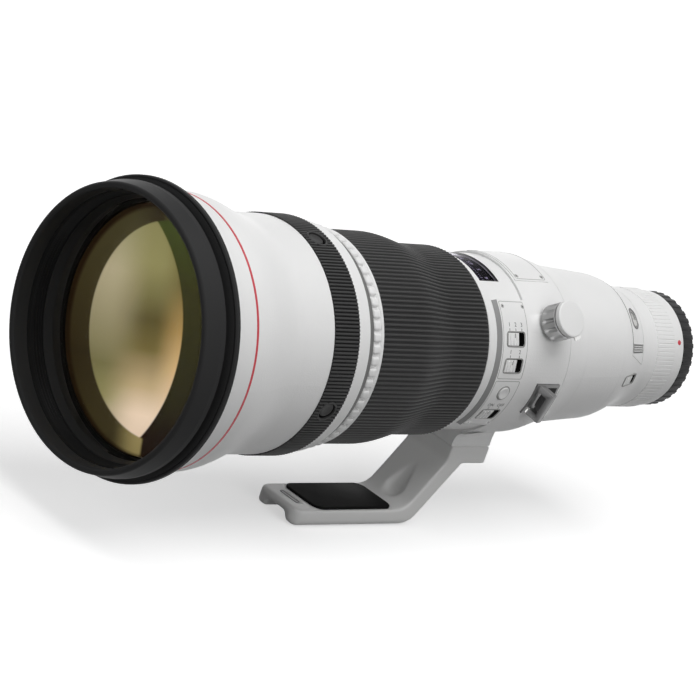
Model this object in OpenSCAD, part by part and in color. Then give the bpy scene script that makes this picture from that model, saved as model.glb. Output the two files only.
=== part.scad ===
// Super telephoto lens with a rotating tripod collar.
// The optical axis runs along Y: the front glass looks towards -Y, and the camera
// mount's flange is the plane Y = 0. A station is a distance in front of that flange.
// A clock angle goes round the axis from the top, +Z, towards +X.

/* [Lengths along the axis] */
// Height of the bayonet plate behind the white casing
mount_plate_t = 3.8; // [3:0.1:6]
// Plain rim that carries the mount index mark
rear_rim_len = 8.6; // [6:0.1:14]
// Ribbed ring at the rear
rear_rib_len = 20.2; // [12:0.1:30]
// Plain casing between the ribbed ring and the filter drawer
tail_len = 11.6; // [10:0.1:20]
// Opening for the drop-in filter drawer
drawer_len = 16.2; // [14:0.1:24]
// Casing between the filter drawer and the collar
rear_taper_len = 67.6; // [60:0.1:100]
// Rotating tripod collar
collar_len = 39; // [36:0.1:60]
// Control casing with the window and the switches
control_len = 34.8; // [33:0.1:50]
// Focusing ring
focus_len = 96.2; // [90:0.1:140]
// Beaded playback ring
playback_len = 10.5; // [8:0.1:16]
// Shadow groove in front of the playback ring
groove_len = 4.2; // [3:0.1:8]
// Smooth ring behind the rubber band
spacer_len = 9.7; // [6:0.1:16]
// Rubber band with the four stop buttons
band_len = 19.6; // [16:0.1:30]
// Front casing from the band to the hood flange
shell_len = 86.5; // [80:0.1:120]
// Rim of the hood flange
flange_len = 3.5; // [2.5:0.1:6]
// Groove between the hood flange and the lip
hood_groove_len = 4.5; // [3:0.1:7]
// Metal lip in front of that groove
hood_lip_len = 3.5; // [2.5:0.1:6]
// Front bumper
bumper_len = 10.5; // [9:0.1:16]

/* [Radii] */
// Control casing, from which the other radii step up and down
control_r = 52.4; // [50:0.1:64]
// Step from the control casing to the collar
collar_step = 1.2; // [0.8:0.1:3]
// Step from the control casing to the rear end of the focusing ring
focus_step = 3.3; // [3:0.1:6]
// Swell of the focusing ring towards the front
focus_swell = 5.6; // [4:0.1:9]
// Step from the focusing ring to the playback ring
playback_step = 1.8; // [1.5:0.1:4]
// Step from the playback ring to the rubber band
band_step = 4.4; // [4:0.1:8]
// Swell of the front casing from the band to the hood flange
front_swell = 9.8; // [8:0.1:14]
// Height of the hood flange above the front casing
flange_step = 6.7; // [5:0.1:9]
// Drop from the control casing to the rear casing
rear_drop = 4.7; // [3:0.1:6]
// Drop from the rear casing to the tail
tail_drop = 10.4; // [8:0.1:11]

/* [Walls and fits] */
// Wall of the outer casings
wall = 2.2; // [1.8:0.1:2.6]
// Wall of the inner tubes
tube_t = 2; // [1.5:0.1:2.4]
// Rubber on the rings
rubber_t = 2; // [1.5:0.1:2.6]
// Gap between pieces that move past each other
clear = 0.3; // [0.25:0.05:0.5]
// Radial gap of a shaft in its bore
shaft_fit = 0.05; // [0.02:0.01:0.09]
// Gap round a lens element in its seat
glass_fit = 0.1; // [0.05:0.05:0.2]

/* [Camera mount and cap] */
// Outer radius of the bayonet plate
mount_r = 32.5; // [31:0.1:34]
// Outer radius of the bayonet throat
throat_r = 25.2; // [24.5:0.1:25.4]
// Length of the throat behind the flange
throat_len = 5; // [4.5:0.1:6]
// Reach of a bayonet lug beyond the throat
lug_h = 1.6; // [1.2:0.1:2]
// Angle that one bayonet lug spans
lug_angle = 50; // [30:1:55]
// Outer radius of the rear cap
cap_r = 35.2; // [34.8:0.1:36]
// Thickness of the cap's closed end
cap_end_t = 1.8; // [1.5:0.1:3]

/* [Foot] */
// Drop from the lens axis to the underside of the foot
foot_drop = 113.5; // [104:0.5:140]
// Width of the foot
foot_w = 37; // [34:0.5:60]
// Thickness of the foot's plate
foot_plate_t = 10.8; // [9.5:0.1:16]
// Length of the plate in front of the bend
foot_plate_len = 87; // [75:0.5:110]
// Station of the foot's rear face in front of the collar's rear end
foot_rear_gap = 1; // [0.5:0.1:4]
// Length of the block under the collar
foot_block_len = 33.4; // [31:0.1:36]
// Gap between the collar's barrel and the seam where the foot joins its boss
foot_seam_gap = 7.1; // [5:0.1:12]
// Thickness of the clamp block
foot_block_t = 11.6; // [10:0.1:16]
// Slope of the foot's arm from level
foot_slope = 55; // [45:1:65]
// Radius of the large tripod hole, for a 3/8 inch thread
tripod_hole_r = 4; // [3.9:0.05:4.2]
// Radius of the small tripod hole, for a 1/4 inch thread
small_hole_r = 2.6; // [2.5:0.05:2.8]
// Depth of the tripod holes
tripod_hole_len = 8; // [6:0.5:9]

/* [Controls] */
// Radius of a stop button
button_r = 4.6; // [3.5:0.1:6]
// Clock angle of the first stop button
button_clock = 13.7; // [0:0.1:40]
// Clock angle of the collar knob
knob_clock = 53.5; // [50:0.5:62]
// Radius of the collar knob
knob_r = 11; // [9:0.1:13]
// Height of the collar knob
knob_h = 14; // [10:0.1:18]
// Radius of the knob's screw
knob_screw_r = 3; // [2.5:0.1:4]
// Width of the strap slot in a lug
strap_slot_w = 12; // [8:0.5:14]
// Height of the strap slot in a lug
strap_slot_h = 6; // [5.4:0.1:7]
// Beads round the playback ring
bead_count = 60; // [40:1:72]

/* [Optics] */
// Drop from the front casing's radius to the edge of the front glass
front_glass_drop = 4.5; // [4:0.1:6]
// Bulge of the front glass
front_glass_sag = 7; // [3:0.1:9]
// Radius of the drop-in filter
filter_r = 23; // [20:0.1:23.5]
// Clock angle of the filter drawer
drawer_clock = 27; // [20:1:34]
// Turn of the cam ring from far to near focus
cam_turn = 75; // [45:1:90]
// Travel of the focusing group from far to near focus
focus_travel = 16; // [10:0.1:17]
// Radius of the focusing group's guide pins
pin_r = 1.6; // [1.2:0.1:1.8]
// Travel of the stabiliser each way
stabiliser_travel = 1.2; // [0.5:0.1:1.5]

/* [Hidden] */

// Overrun of a cut past the face that it opens
over = 1;
// Length that carries a cut out past any outer surface
far = 40;
round_fn = 180;
small_fn = 48;
ramp_steps = 10;

// Paint and material colours
white_paint = [0.90, 0.90, 0.87];
shade_paint = [0.72, 0.72, 0.70];
black_paint = [0.10, 0.10, 0.11];
black_rubber = [0.16, 0.16, 0.16];
bare_metal = [0.72, 0.72, 0.74];
red_line = [0.62, 0.12, 0.14];
lens_tint = [0.40, 0.40, 0.28, 0.5];

// Stations where one section ends and the next begins
s_rim = mount_plate_t;
s_rib = s_rim + rear_rim_len;
s_tail = s_rib + rear_rib_len;
s_drawer = s_tail + tail_len;
s_taper = s_drawer + drawer_len;
s_collar = s_taper + rear_taper_len;
s_control = s_collar + collar_len;
s_focus = s_control + control_len;
s_playback = s_focus + focus_len;
s_groove = s_playback + playback_len;
s_spacer = s_groove + groove_len;
s_band = s_spacer + spacer_len;
s_shell = s_band + band_len;
s_flange = s_shell + shell_len;
s_hood_groove = s_flange + flange_len;
s_hood_lip = s_hood_groove + hood_groove_len;
s_bumper = s_hood_lip + hood_lip_len;
s_front = s_bumper + bumper_len;

// Outer radii of the sections
collar_r = control_r + collar_step;
focus_rear_r = control_r + focus_step;
focus_r = focus_rear_r + focus_swell;
playback_r = focus_r + playback_step;
band_r = playback_r + band_step;
front_r = band_r + front_swell;
flange_r = front_r + flange_step;
rear_r = control_r - rear_drop;
tail_r = rear_r - tail_drop;

// Smooth step from 0 to 1
function ease(t) = t * t * (3 - 2 * t);
function share(s, s_a, s_b) = min(1, max(0, (s - s_a) / (s_b - s_a)));
function between(a, b, t) = a + (b - a) * t;
function steps_between(a, b, n) = [for (i = [0:n]) between(a, b, i / n)];
function reversed(list) = [for (i = [len(list) - 1:-1:0]) list[i]];
// Points of an arc about a centre, for an outline of [radius, station] points
function arc_points(centre, r, from, to, n) =
    [for (a = steps_between(from, to, n)) centre + r * [cos(a), sin(a)]];
// Points of a spherical face from its edge at radius r to its middle on the axis
function dome_points(r, s_edge, sag, n) =
    let (ball_r = (r * r + sag * sag) / (2 * abs(sag)), way = sign(sag))
    [for (t = steps_between(1, 0, n))
        [r * t, s_edge + sag - way * (ball_r - sqrt(ball_r * ball_r - r * r * t * t))]];

// Rear casing: where its two flares and the cone between them lie
flare_lead = 5.4;
waist_reach = 9.6;
waist_drop = 2.7;
collar_flare_lead = 22;
collar_flare_reach = 10;
s_flare = s_tail + flare_lead;
s_waist = s_taper + waist_reach;
s_neck = s_collar - collar_flare_lead;
s_shoulder = s_collar + collar_flare_reach;
waist_r = rear_r - waist_drop;
foot_seam_drop = collar_r + foot_seam_gap;
function rear_r_at(s) =
    s < s_waist ? between(tail_r, waist_r, ease(share(s, s_flare, s_waist)))
    : s < s_neck ? between(waist_r, rear_r, share(s, s_waist, s_neck))
    : between(rear_r, collar_r, ease(share(s, s_neck, s_shoulder)));

// Focusing ring and front casing: where each swells
focus_plain_len = 26.2;
focus_ramp_len = 34;
shell_plain_len = 22;
shell_ramp_len = 40;
s_focus_ramp = s_focus + focus_plain_len;
s_shell_ramp = s_shell + shell_plain_len;
function focus_r_at(s) =
    between(focus_rear_r, focus_r, ease(share(s, s_focus_ramp, s_focus_ramp + focus_ramp_len)));
function shell_r_at(s) =
    between(band_r, front_r, ease(share(s, s_shell_ramp, s_shell_ramp + shell_ramp_len)));

// How far such a face stands in front of its edge at another radius
function dome_rise(r, sag, at_r) =
    let (ball_r = (r * r + sag * sag) / (2 * abs(sag)))
    abs(sag) - ball_r + sqrt(ball_r * ball_r - at_r * at_r);

// Turns an outline of [radius, station] points about the lens axis
module lathe(outline) {
    rotate([90, 0, 0]) rotate_extrude($fn = round_fn) polygon(outline);
}
// The same between two clock angles
module lathe_sector(outline, from, to) {
    rotate([90, 0, 0]) rotate([0, 0, 90 - to])
        rotate_extrude(angle = to - from, $fn = round_fn) polygon(outline);
}
function ring_outline(r_in, r_out, s_from, s_to) =
    [[r_in, s_from], [r_out, s_from], [r_out, s_to], [r_in, s_to]];
module ring(r_in, r_out, s_from, s_to) {
    lathe(ring_outline(r_in, r_out, s_from, s_to));
}
module ring_sector(r_in, r_out, s_from, s_to, from, to) {
    lathe_sector(ring_outline(r_in, r_out, s_from, s_to), from, to);
}
// Puts what is built along +Z at a clock angle and a station
module clocked(clock, s) {
    rotate([0, clock, 0]) translate([0, -s, 0]) children();
}
// Round bar along the radius at a clock angle and a station
module radial_bar(clock, s, r, from_r, to_r) {
    clocked(clock, s) translate([0, 0, from_r]) cylinder(h = to_r - from_r, r = r, $fn = small_fn);
}
// Block along the radius: w across, len along the axis
module radial_block(clock, s, w, len, from_r, to_r) {
    clocked(clock, s) translate([-w / 2, -len / 2, from_r]) cube([w, len, to_r - from_r]);
}

// Front opening
mouth_step = 1.9;
hood_step = 3.7;
lip_drop = 1.5;
mouth_r = front_r - mouth_step;
hood_r = front_r + hood_step;
lip_r = hood_r - lip_drop;
lip_round = (lip_r - mouth_r) / 2;
tongue_in = 1.4;
tongue_t = 1.8;
tongue_len = 4;
spigot_r = front_r - wall;
cell_len = 22.5;
glass_r = front_r - front_glass_drop;
glass_seat_r = glass_r + glass_fit;
glass_edge_t = 6.5;
glass_lip = 1.3;
glass_lip_t = 0.6;
glass_setback = 4.5;
s_glass = s_flange - glass_setback;
s_glass_edge = s_glass - dome_rise(glass_r, front_glass_sag, glass_seat_r - glass_lip);
rim_chamfer = 0.7;
rim_line_w = 0.4;
rim_line_d = 0.5;
hood_floor_drop = 0.7;
hood_slope = 1.6;
baffle_setback = 1.3;
baffle_seat_in = 2.1;

module front_bumper() {
    inner_r = mouth_r + tongue_in;
    outer_r = inner_r + tongue_t;
    color(black_rubber) lathe(concat(
        [[mouth_r, s_bumper], [inner_r, s_bumper], [inner_r, s_bumper + tongue_len],
         [outer_r, s_bumper + tongue_len], [outer_r, s_bumper], [hood_r, s_bumper]],
        arc_points([mouth_r + lip_round, s_front - lip_round], lip_round, 0, 180, ramp_steps)
    ));
}

module hood_ring() {
    inner_r = mouth_r + tongue_in;
    outer_r = inner_r + tongue_t;
    rim_in = flange_r - 2 * rim_chamfer;
    floor_r = front_r - hood_floor_drop;
    color(black_paint) lathe([
        [glass_seat_r, s_flange - cell_len], [spigot_r, s_flange - cell_len],
        [spigot_r, s_flange], [flange_r - rim_chamfer, s_flange],
        [flange_r, s_flange + rim_chamfer], [flange_r, s_hood_groove - rim_chamfer],
        [flange_r - rim_chamfer, s_hood_groove], [rim_in, s_hood_groove],
        [rim_in, s_hood_groove - rim_line_d], [rim_in - rim_line_w, s_hood_groove - rim_line_d],
        [rim_in - rim_line_w, s_hood_groove], [floor_r, s_hood_groove + hood_slope],
        [floor_r, s_hood_lip], [hood_r - rim_line_w, s_hood_lip],
        [hood_r, s_hood_lip + rim_line_w], [hood_r, s_bumper],
        [outer_r, s_bumper], [outer_r, s_bumper + tongue_len],
        [inner_r, s_bumper + tongue_len], [inner_r, s_bumper], [mouth_r, s_bumper],
        [mouth_r, s_flange + baffle_setback], [mouth_r - baffle_seat_in, s_flange + baffle_setback],
        [glass_seat_r - glass_lip, s_glass + glass_lip_t], [glass_seat_r - glass_lip, s_glass],
        [glass_seat_r, s_glass]
    ]);
}

baffle_t = 0.9;
ridge_h = 0.8;
ridge_pitch = 2.1;
ridge_count = 4;
ridge_crest_share = 0.45;
// Ridged baffle in front of the front glass, and the ring that holds the glass from behind
module baffle_rings() {
    s_rear = s_flange + baffle_setback;
    valley_r = mouth_r - baffle_t;
    ridges = [for (i = [0:ridge_count - 1]) each [
        [valley_r, s_rear + i * ridge_pitch],
        [valley_r - ridge_h, s_rear + (i + ridge_crest_share) * ridge_pitch]
    ]];
    color(black_paint) {
        lathe(concat(
            ridges,
            [[valley_r, s_rear + ridge_count * ridge_pitch], [mouth_r - rim_line_w, s_bumper],
             [mouth_r, s_bumper], [mouth_r, s_rear]]
        ));
        glass_retainer();
    }
}

rear_face_sag = 2;
module front_glass() {
    color(lens_tint) lathe(concat(
        reversed(dome_points(glass_r, s_glass_edge - glass_edge_t, -rear_face_sag, ramp_steps)),
        dome_points(glass_r, s_glass_edge, front_glass_sag, 2 * ramp_steps)
    ));
}

retainer_w = 2.6;
retainer_len = 5;
module glass_retainer() {
    inner_r = glass_seat_r - retainer_w;
    s_back = s_glass_edge - glass_edge_t - dome_rise(glass_r, rear_face_sag, inner_r);
    ring(inner_r, glass_seat_r, s_back - retainer_len, s_back);
}

// Front casing
accent_gap = 18.1;
accent_w = 1.2;
accent_d = 0.8;
accent_proud = 0.1;
s_accent = s_flange - accent_gap;
module front_barrel() {
    outer = concat(
        [[band_r, s_shell]],
        [for (s = steps_between(s_shell_ramp, s_shell_ramp + shell_ramp_len, 2 * ramp_steps))
            [shell_r_at(s), s]],
        [[front_r, s_flange]]
    );
    inner = [for (p = outer) p - [wall, 0]];
    color(white_paint) difference() {
        lathe(concat(outer, reversed(inner)));
        ring(front_r - accent_d, front_r + over, s_accent - accent_w, s_accent);
    }
}
module accent_ring() {
    color(red_line)
        ring(front_r - accent_d, front_r + accent_proud, s_accent - accent_w, s_accent);
}

// Barrel under the rubber band
under_band_r = band_r - rubber_t;
stop_wall = 3.1;
stop_in_r = under_band_r - stop_wall;
spacer_drop = 1.2;
groove_floor_r = playback_r - clear - clear;
playback_base = 2.8;
playback_seat_r = playback_r - playback_base - clear;
stop_bore_drop = 2.2;
stop_bore_r = playback_seat_r - stop_bore_drop;
front_spigot_len = 8;
s_button = s_band + band_len / 2;
button_flange = 1.6;
button_flange_t = 1.2;
button_flange_drop = 0.8;
button_sink = 0.3;
button_clocks = [for (k = [0:3]) button_clock + 90 * k];
button_moat = 0.8;
module button_holes(room) {
    for (clock = button_clocks)
        radial_bar(clock, s_button, button_r + room, stop_in_r - over, band_r + over);
}
module stop_barrel() {
    s_rear = s_playback + clear;
    s_step = s_groove + clear;
    color(black_paint) difference() {
        lathe([
            [stop_bore_r, s_rear], [playback_seat_r, s_rear], [playback_seat_r, s_step],
            [groove_floor_r, s_step], [groove_floor_r, s_spacer],
            [under_band_r - spacer_drop, s_spacer], [under_band_r - spacer_drop, s_band],
            [under_band_r, s_band], [under_band_r, s_shell], [band_r - wall, s_shell],
            [band_r - wall, s_shell + front_spigot_len], [stop_in_r, s_shell + front_spigot_len],
            [stop_in_r, s_band - front_spigot_len], [stop_bore_r, s_spacer]
        ]);
        button_holes(clear);
    }
}
module spacer_ring() {
    color(white_paint) lathe([
        [under_band_r - spacer_drop, s_spacer], [band_r - spacer_drop, s_spacer],
        [band_r - clear, s_band - clear], [band_r - clear, s_band],
        [under_band_r - spacer_drop, s_band]
    ]);
}
module grip_band() {
    color(black_rubber) difference() {
        ring(under_band_r, band_r, s_band, s_shell);
        button_holes(button_moat);
    }
}
module stop_button(k) {
    top_r = band_r - button_sink;
    flange_top_r = stop_in_r - button_flange_drop;
    color(black_rubber) union() {
        radial_bar(button_clocks[k], s_button, button_r, flange_top_r - over, top_r);
        radial_bar(button_clocks[k], s_button, button_r + button_flange,
            flange_top_r - button_flange_t, flange_top_r);
    }
}

// Second element in its cell
second_wall = 2.8;
second_r = stop_in_r - second_wall - glass_fit;
second_ledge = 3.5;
second_ledge_len = 5;
second_reach = 18;
second_edge_t = 8;
second_front_sag = 5;
second_rear_sag = 2.6;
module second_cell() {
    s_stop = s_shell + front_spigot_len;
    bore_r = second_r + glass_fit;
    s_ledge = s_stop + wall;
    color(black_paint) lathe([
        [bore_r - second_ledge, s_ledge - second_ledge_len], [bore_r, s_ledge - second_ledge_len],
        [bore_r, s_shell], [stop_in_r, s_shell], [stop_in_r, s_stop], [band_r - wall, s_stop],
        [band_r - wall, s_stop + wall], [stop_in_r, s_stop + wall],
        [stop_in_r, s_stop + second_reach], [bore_r, s_stop + second_reach],
        [bore_r, s_ledge], [bore_r - second_ledge, s_ledge]
    ]);
}
module second_glass() {
    s_ledge = s_shell + front_spigot_len + wall
        + dome_rise(second_r, second_rear_sag, second_r + glass_fit - second_ledge);
    color(lens_tint) lathe(concat(
        reversed(dome_points(second_r, s_ledge, -second_rear_sag, ramp_steps)),
        dome_points(second_r, s_ledge + second_edge_t, second_front_sag, ramp_steps)
    ));
}

// Playback ring with a row of round beads
bead_r = 3.1;
bead_sink = 1.8;
bead_rim_len = 2.6;
module playback_ring() {
    s_rear = s_playback + clear;
    bead_axis_r = playback_r - bead_sink;
    base_r = playback_r - clear - clear;
    color(white_paint) difference() {
        union() {
            rotate([90, 0, 0]) translate([0, 0, s_rear + bead_rim_len])
                linear_extrude(height = s_groove - s_rear - bead_rim_len) union() {
                    circle(r = base_r, $fn = round_fn);
                    for (k = [0:bead_count - 1]) rotate(k * 360 / bead_count)
                        translate([bead_axis_r, 0]) circle(r = bead_r - clear, $fn = small_fn);
                }
            ring(0, playback_r, s_rear, s_rear + bead_rim_len);
        }
        ring(0, playback_seat_r + clear, s_rear - over, s_groove + over);
    }
}

// Tube that carries the focusing ring
ring_run_r = focus_rear_r - rubber_t - tube_t - clear;
flange_inset = 4;
module inner_barrel() {
    socket_r = control_r - wall;
    s_socket = s_focus - socket_len;
    color(black_paint) lathe([
        [socket_r - tube_t, s_socket], [socket_r, s_socket], [socket_r, s_focus],
        [ring_run_r, s_focus], [ring_run_r, s_playback + over], [stop_bore_r, s_playback + over],
        [stop_bore_r, s_playback + over + flange_inset],
        [ring_run_r - tube_t, s_playback + over + flange_inset],
        [ring_run_r - tube_t, s_focus + tube_t], [socket_r - tube_t, s_focus + tube_t]
    ]);
}

// Focusing ring and its rubber
land_len = 4;
land_gap = 6;
grip_inset = 0.5;
function focus_outline(drop, s_from, s_to) = concat(
    [[focus_r_at(s_from) - drop, s_from]],
    [for (s = steps_between(s_focus_ramp, s_focus_ramp + focus_ramp_len, 2 * ramp_steps))
        [focus_r_at(s) - drop, s]],
    [[focus_r_at(s_to) - drop, s_to]]
);
module focus_ring() {
    s_from = s_focus + clear;
    s_to = s_playback - clear;
    bore_r = ring_run_r + clear;
    core = rubber_t + tube_t;
    color(black_paint) lathe(concat(
        focus_outline(rubber_t, s_from, s_to),
        [[focus_r - core, s_to], [focus_r - core, s_to - land_gap], [bore_r, s_to - land_gap],
         [bore_r, s_to - land_gap - land_len], [focus_r - core, s_to - land_gap - land_len]],
        reversed(focus_outline(core, s_from, s_focus_ramp + focus_ramp_len + over))
    ));
}
module focus_grip() {
    s_from = s_focus + clear + grip_inset;
    s_to = s_playback - clear - grip_inset;
    color(black_rubber) lathe(concat(
        focus_outline(0, s_from, s_to),
        reversed(focus_outline(rubber_t, s_from, s_to))
    ));
}

// Control casing: window, raised switch panels and their openings
socket_len = 5.5;
pad_h = 1.5;
pad_from = 38.5;
pad_split = 90;
pad_to = 131;
pad_front_gap = 11.2;
pad_bevel = 2.6;
panel_t = 0.8;
panel_margin = 1.2;
panel_clock_margin = 1;
pad_r = control_r + pad_h;
s_pad = s_focus - pad_front_gap;
window_half = 23.7;
window_front_gap = 6.8;
window_len = 16.5;
window_t = 1.4;
window_sink = 0.2;
s_window = s_focus - window_front_gap;
trim_line_gap = 2;
trim_line_w = 0.4;
trim_line_d = 0.3;
// Switches: clock angle of each, and the window that its lever slides in, from the front end
upper_switch_clocks = [63.9, 80.6];
lower_switch_clock = 117.5;
slot_w = 8;
slot_travel = 5;
lever_len = 9;
lever_proud = 0.4;
slot_len = lever_len + slot_travel + 2 * clear;
s_switch = s_control + (s_pad - s_control) / 2 - clear;
preset_clock = 99.2;
preset_r = 4;
preset_setback = 12.2;
preset_travel = 0.8;
preset_proud = 0.8;
s_preset = s_pad - preset_setback;
panel_screw_r = 1.3;
panel_screw_len = 2;
panel_screw_inset = 3.9;
panel_screw_places = [
    [43, s_pad - panel_screw_inset], [43, s_control + 2 * panel_margin],
    [127, s_pad - panel_screw_inset], [127, s_control + 2 * panel_margin]
];
module switch_slots(from_r, to_r) {
    for (clock = concat(upper_switch_clocks, [lower_switch_clock]))
        radial_block(clock, s_switch, slot_w, slot_len, from_r, to_r);
    radial_bar(preset_clock, s_preset, preset_r + clear, from_r, to_r);
}
module panel_screw_holes(from_r, to_r) {
    for (place = panel_screw_places) radial_bar(place[0], place[1], panel_screw_r, from_r, to_r);
}
module control_barrel() {
    inner_r = control_r - wall;
    color(white_paint) difference() {
        lathe([
            [inner_r, s_control], [pad_r, s_control], [pad_r, s_pad],
            [control_r, s_pad + pad_bevel], [control_r, s_focus], [inner_r, s_focus]
        ]);
        ring_sector(control_r, pad_r + over, s_control - over, s_pad + pad_bevel,
            pad_to, 360 + pad_from);
        ring_sector(inner_r - over, control_r + over, s_window - window_len, s_window,
            -window_half, window_half);
        ring(control_r - trim_line_d, control_r + over, s_focus - trim_line_gap - trim_line_w,
            s_focus - trim_line_gap);
        upper_panel_shape(over);
        lower_panel_shape(over);
        switch_slots(inner_r - over, pad_r + over);
        panel_screw_holes(pad_r - panel_screw_len, pad_r + over);
    }
}
module upper_panel_shape(extra) {
    ring_sector(pad_r - panel_t, pad_r + extra, s_control + panel_margin, s_pad - panel_margin,
        pad_from + panel_clock_margin, pad_split - panel_clock_margin / 2);
}
module lower_panel_shape(extra) {
    ring_sector(pad_r - panel_t, pad_r + extra, s_control + panel_margin, s_pad - panel_margin,
        pad_split + panel_clock_margin / 2, pad_to - panel_clock_margin);
}
module upper_switch_panel() {
    color(shade_paint) difference() {
        upper_panel_shape(0);
        switch_slots(control_r - wall, pad_r + over);
        panel_screw_holes(control_r - wall, pad_r + over);
    }
}
module lower_switch_panel() {
    color(shade_paint) difference() {
        lower_panel_shape(0);
        switch_slots(control_r - wall, pad_r + over);
        panel_screw_holes(control_r - wall, pad_r + over);
    }
}
module distance_window() {
    color(black_paint)
        ring_sector(control_r - window_sink - window_t, control_r - window_sink,
            s_window - window_len, s_window, -window_half, window_half);
}
// Lever of a slide switch: it fills its window's width and rests at the front end
module switch_lever(clock) {
    radial_s = s_switch + slot_travel / 2;
    color(shade_paint) radial_block(clock, radial_s, slot_w - 2 * clear, lever_len,
        control_r - wall + clear, pad_r + lever_proud);
}
module focus_mode_switch() { switch_lever(upper_switch_clocks[0]); }
module range_switch() { switch_lever(upper_switch_clocks[1]); }
module stabiliser_switch() { switch_lever(lower_switch_clock); }
module preset_button() {
    inner_end_r = control_r - wall + preset_travel + clear;
    color(shade_paint)
        radial_bar(preset_clock, s_preset, preset_r, inner_end_r, pad_r + preset_proud);
}

// Focusing mechanism inside the control casing
cam_in_drop = 7.6;
cam_in_r = control_r - cam_in_drop;
cam_out_r = cam_in_r + tube_t;
guide_out_r = cam_in_r - clear;
guide_in_r = guide_out_r - tube_t;
cell_r = guide_in_r - clear;
web_front = 4.5;
s_web = s_control + web_front;
web_t = 3;
guide_len = 55;
cam_len = 28;
s_cam = s_web + clear;
pin_setback = 7.5;
s_pin = s_cam + pin_setback;
pin_clocks = [60, 180, 300];
cell_len_rear = 3.5;
cell_len_front = 26;
cell_wall = 3;
drum_t = 0.8;
drum_gap = 0.4;
drum_out_r = control_r - wall - drum_gap;
drum_web_t = 2;
drum_setback = 4;
module guide_tube() {
    color(bare_metal) difference() {
        ring(guide_in_r, guide_out_r, s_web, s_web + guide_len);
        for (clock = pin_clocks) {
            radial_bar(clock, s_pin, pin_r + clear, guide_in_r - over, guide_out_r + over);
            radial_bar(clock, s_pin + focus_travel, pin_r + clear, guide_in_r - over, guide_out_r + over);
            radial_block(clock, s_pin + focus_travel / 2, 2 * (pin_r + clear), focus_travel,
                guide_in_r - over, guide_out_r + over);
        }
    }
}
// Slots of the cam ring: each winds back by cam_turn while it climbs by focus_travel
module cam_slots() {
    lead_angle = atan(focus_travel / (cam_out_r * cam_turn * PI / 180));
    slot_across = 2 * (pin_r + clear) / sin(lead_angle);
    margin = pin_r + clear;
    slot_h = focus_travel + 2 * margin;
    turn = cam_turn * slot_h / focus_travel;
    lead_turn = cam_turn * margin / focus_travel;
    for (clock = pin_clocks) rotate([0, clock + lead_turn, 0])
        rotate([90, 0, 0]) translate([0, 0, s_pin - margin])
            linear_extrude(height = slot_h, twist = -turn, slices = 2 * ramp_steps)
                translate([-slot_across / 2, cam_in_r - over]) square([slot_across, tube_t + 2 * over]);
}
module cam_ring() {
    color(bare_metal) difference() {
        ring(cam_in_r, cam_out_r, s_cam, s_cam + cam_len);
        cam_slots();
    }
}
module distance_scale() {
    s_from = s_cam + drum_setback;
    s_to = s_focus - socket_len - clear - clear;
    color(black_paint) lathe([
        [cam_out_r + shaft_fit, s_from], [drum_out_r, s_from], [drum_out_r, s_to],
        [drum_out_r - drum_t, s_to], [drum_out_r - drum_t, s_from + drum_web_t],
        [cam_out_r + shaft_fit, s_from + drum_web_t]
    ]);
}
focus_glass_edge = 5;
focus_glass_sag = 3;
module focus_cell() {
    s_from = s_pin - cell_len_rear;
    s_to = s_pin + cell_len_front;
    seat_r = cell_r - cell_wall;
    color(black_paint) union() {
        lathe([
            [seat_r - cell_wall, s_from], [cell_r, s_from], [cell_r, s_to], [seat_r, s_to],
            [seat_r, s_to - 2 * focus_glass_edge], [seat_r - cell_wall, s_to - 2 * focus_glass_edge]
        ]);
        for (clock = pin_clocks) radial_bar(clock, s_pin, pin_r, cell_r - cell_wall, cam_out_r - clear);
    }
}
module focus_glass() {
    glass_r = cell_r - cell_wall - glass_fit;
    s_seat = s_pin + cell_len_front - 2 * focus_glass_edge
        + dome_rise(glass_r, focus_glass_sag, cell_r - 2 * cell_wall);
    color(lens_tint) lathe(concat(
        reversed(dome_points(glass_r, s_seat, -focus_glass_sag, ramp_steps)),
        dome_points(glass_r, s_seat + focus_glass_edge, focus_glass_sag, ramp_steps)
    ));
}
motor_setback = 4;
motor_len = 16;
module focus_motor() {
    s_from = s_focus + motor_setback;
    color(bare_metal) ring(guide_out_r + shaft_fit, ring_run_r - tube_t - clear, s_from, s_from + motor_len);
}

// Main tube: collar seat, stabiliser ledge and the web to the control casing
main_out_r = rear_r - wall;
main_in_r = main_out_r - wall;
main_rear_gap = 32;
seat_gap = 1;
s_main = s_collar - main_rear_gap;
collar_run_r = control_r - wall;
stab_setback = 9;
stab_ledge_t = 2;
stab_ledge_in = 9;
s_stab = s_collar + stab_setback;
module main_tube() {
    s_seat = s_collar + seat_gap;
    s_seat_end = s_control - clear;
    color(black_paint) difference() {
        lathe([
            [main_in_r, s_main], [main_out_r, s_main], [main_out_r, s_seat], [collar_run_r, s_seat],
            [collar_run_r, s_seat_end], [collar_run_r - tube_t, s_seat_end],
            [collar_run_r - tube_t, s_seat + web_t], [main_out_r, s_seat + web_t],
            [main_out_r, s_web - web_t], [collar_run_r, s_web - web_t], [collar_run_r, s_web],
            [main_in_r, s_web], [main_in_r, s_stab + stab_ledge_t],
            [main_in_r - stab_ledge_in, s_stab + stab_ledge_t],
            [main_in_r - stab_ledge_in, s_stab], [main_in_r, s_stab]
        ]);
    }
}

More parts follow.
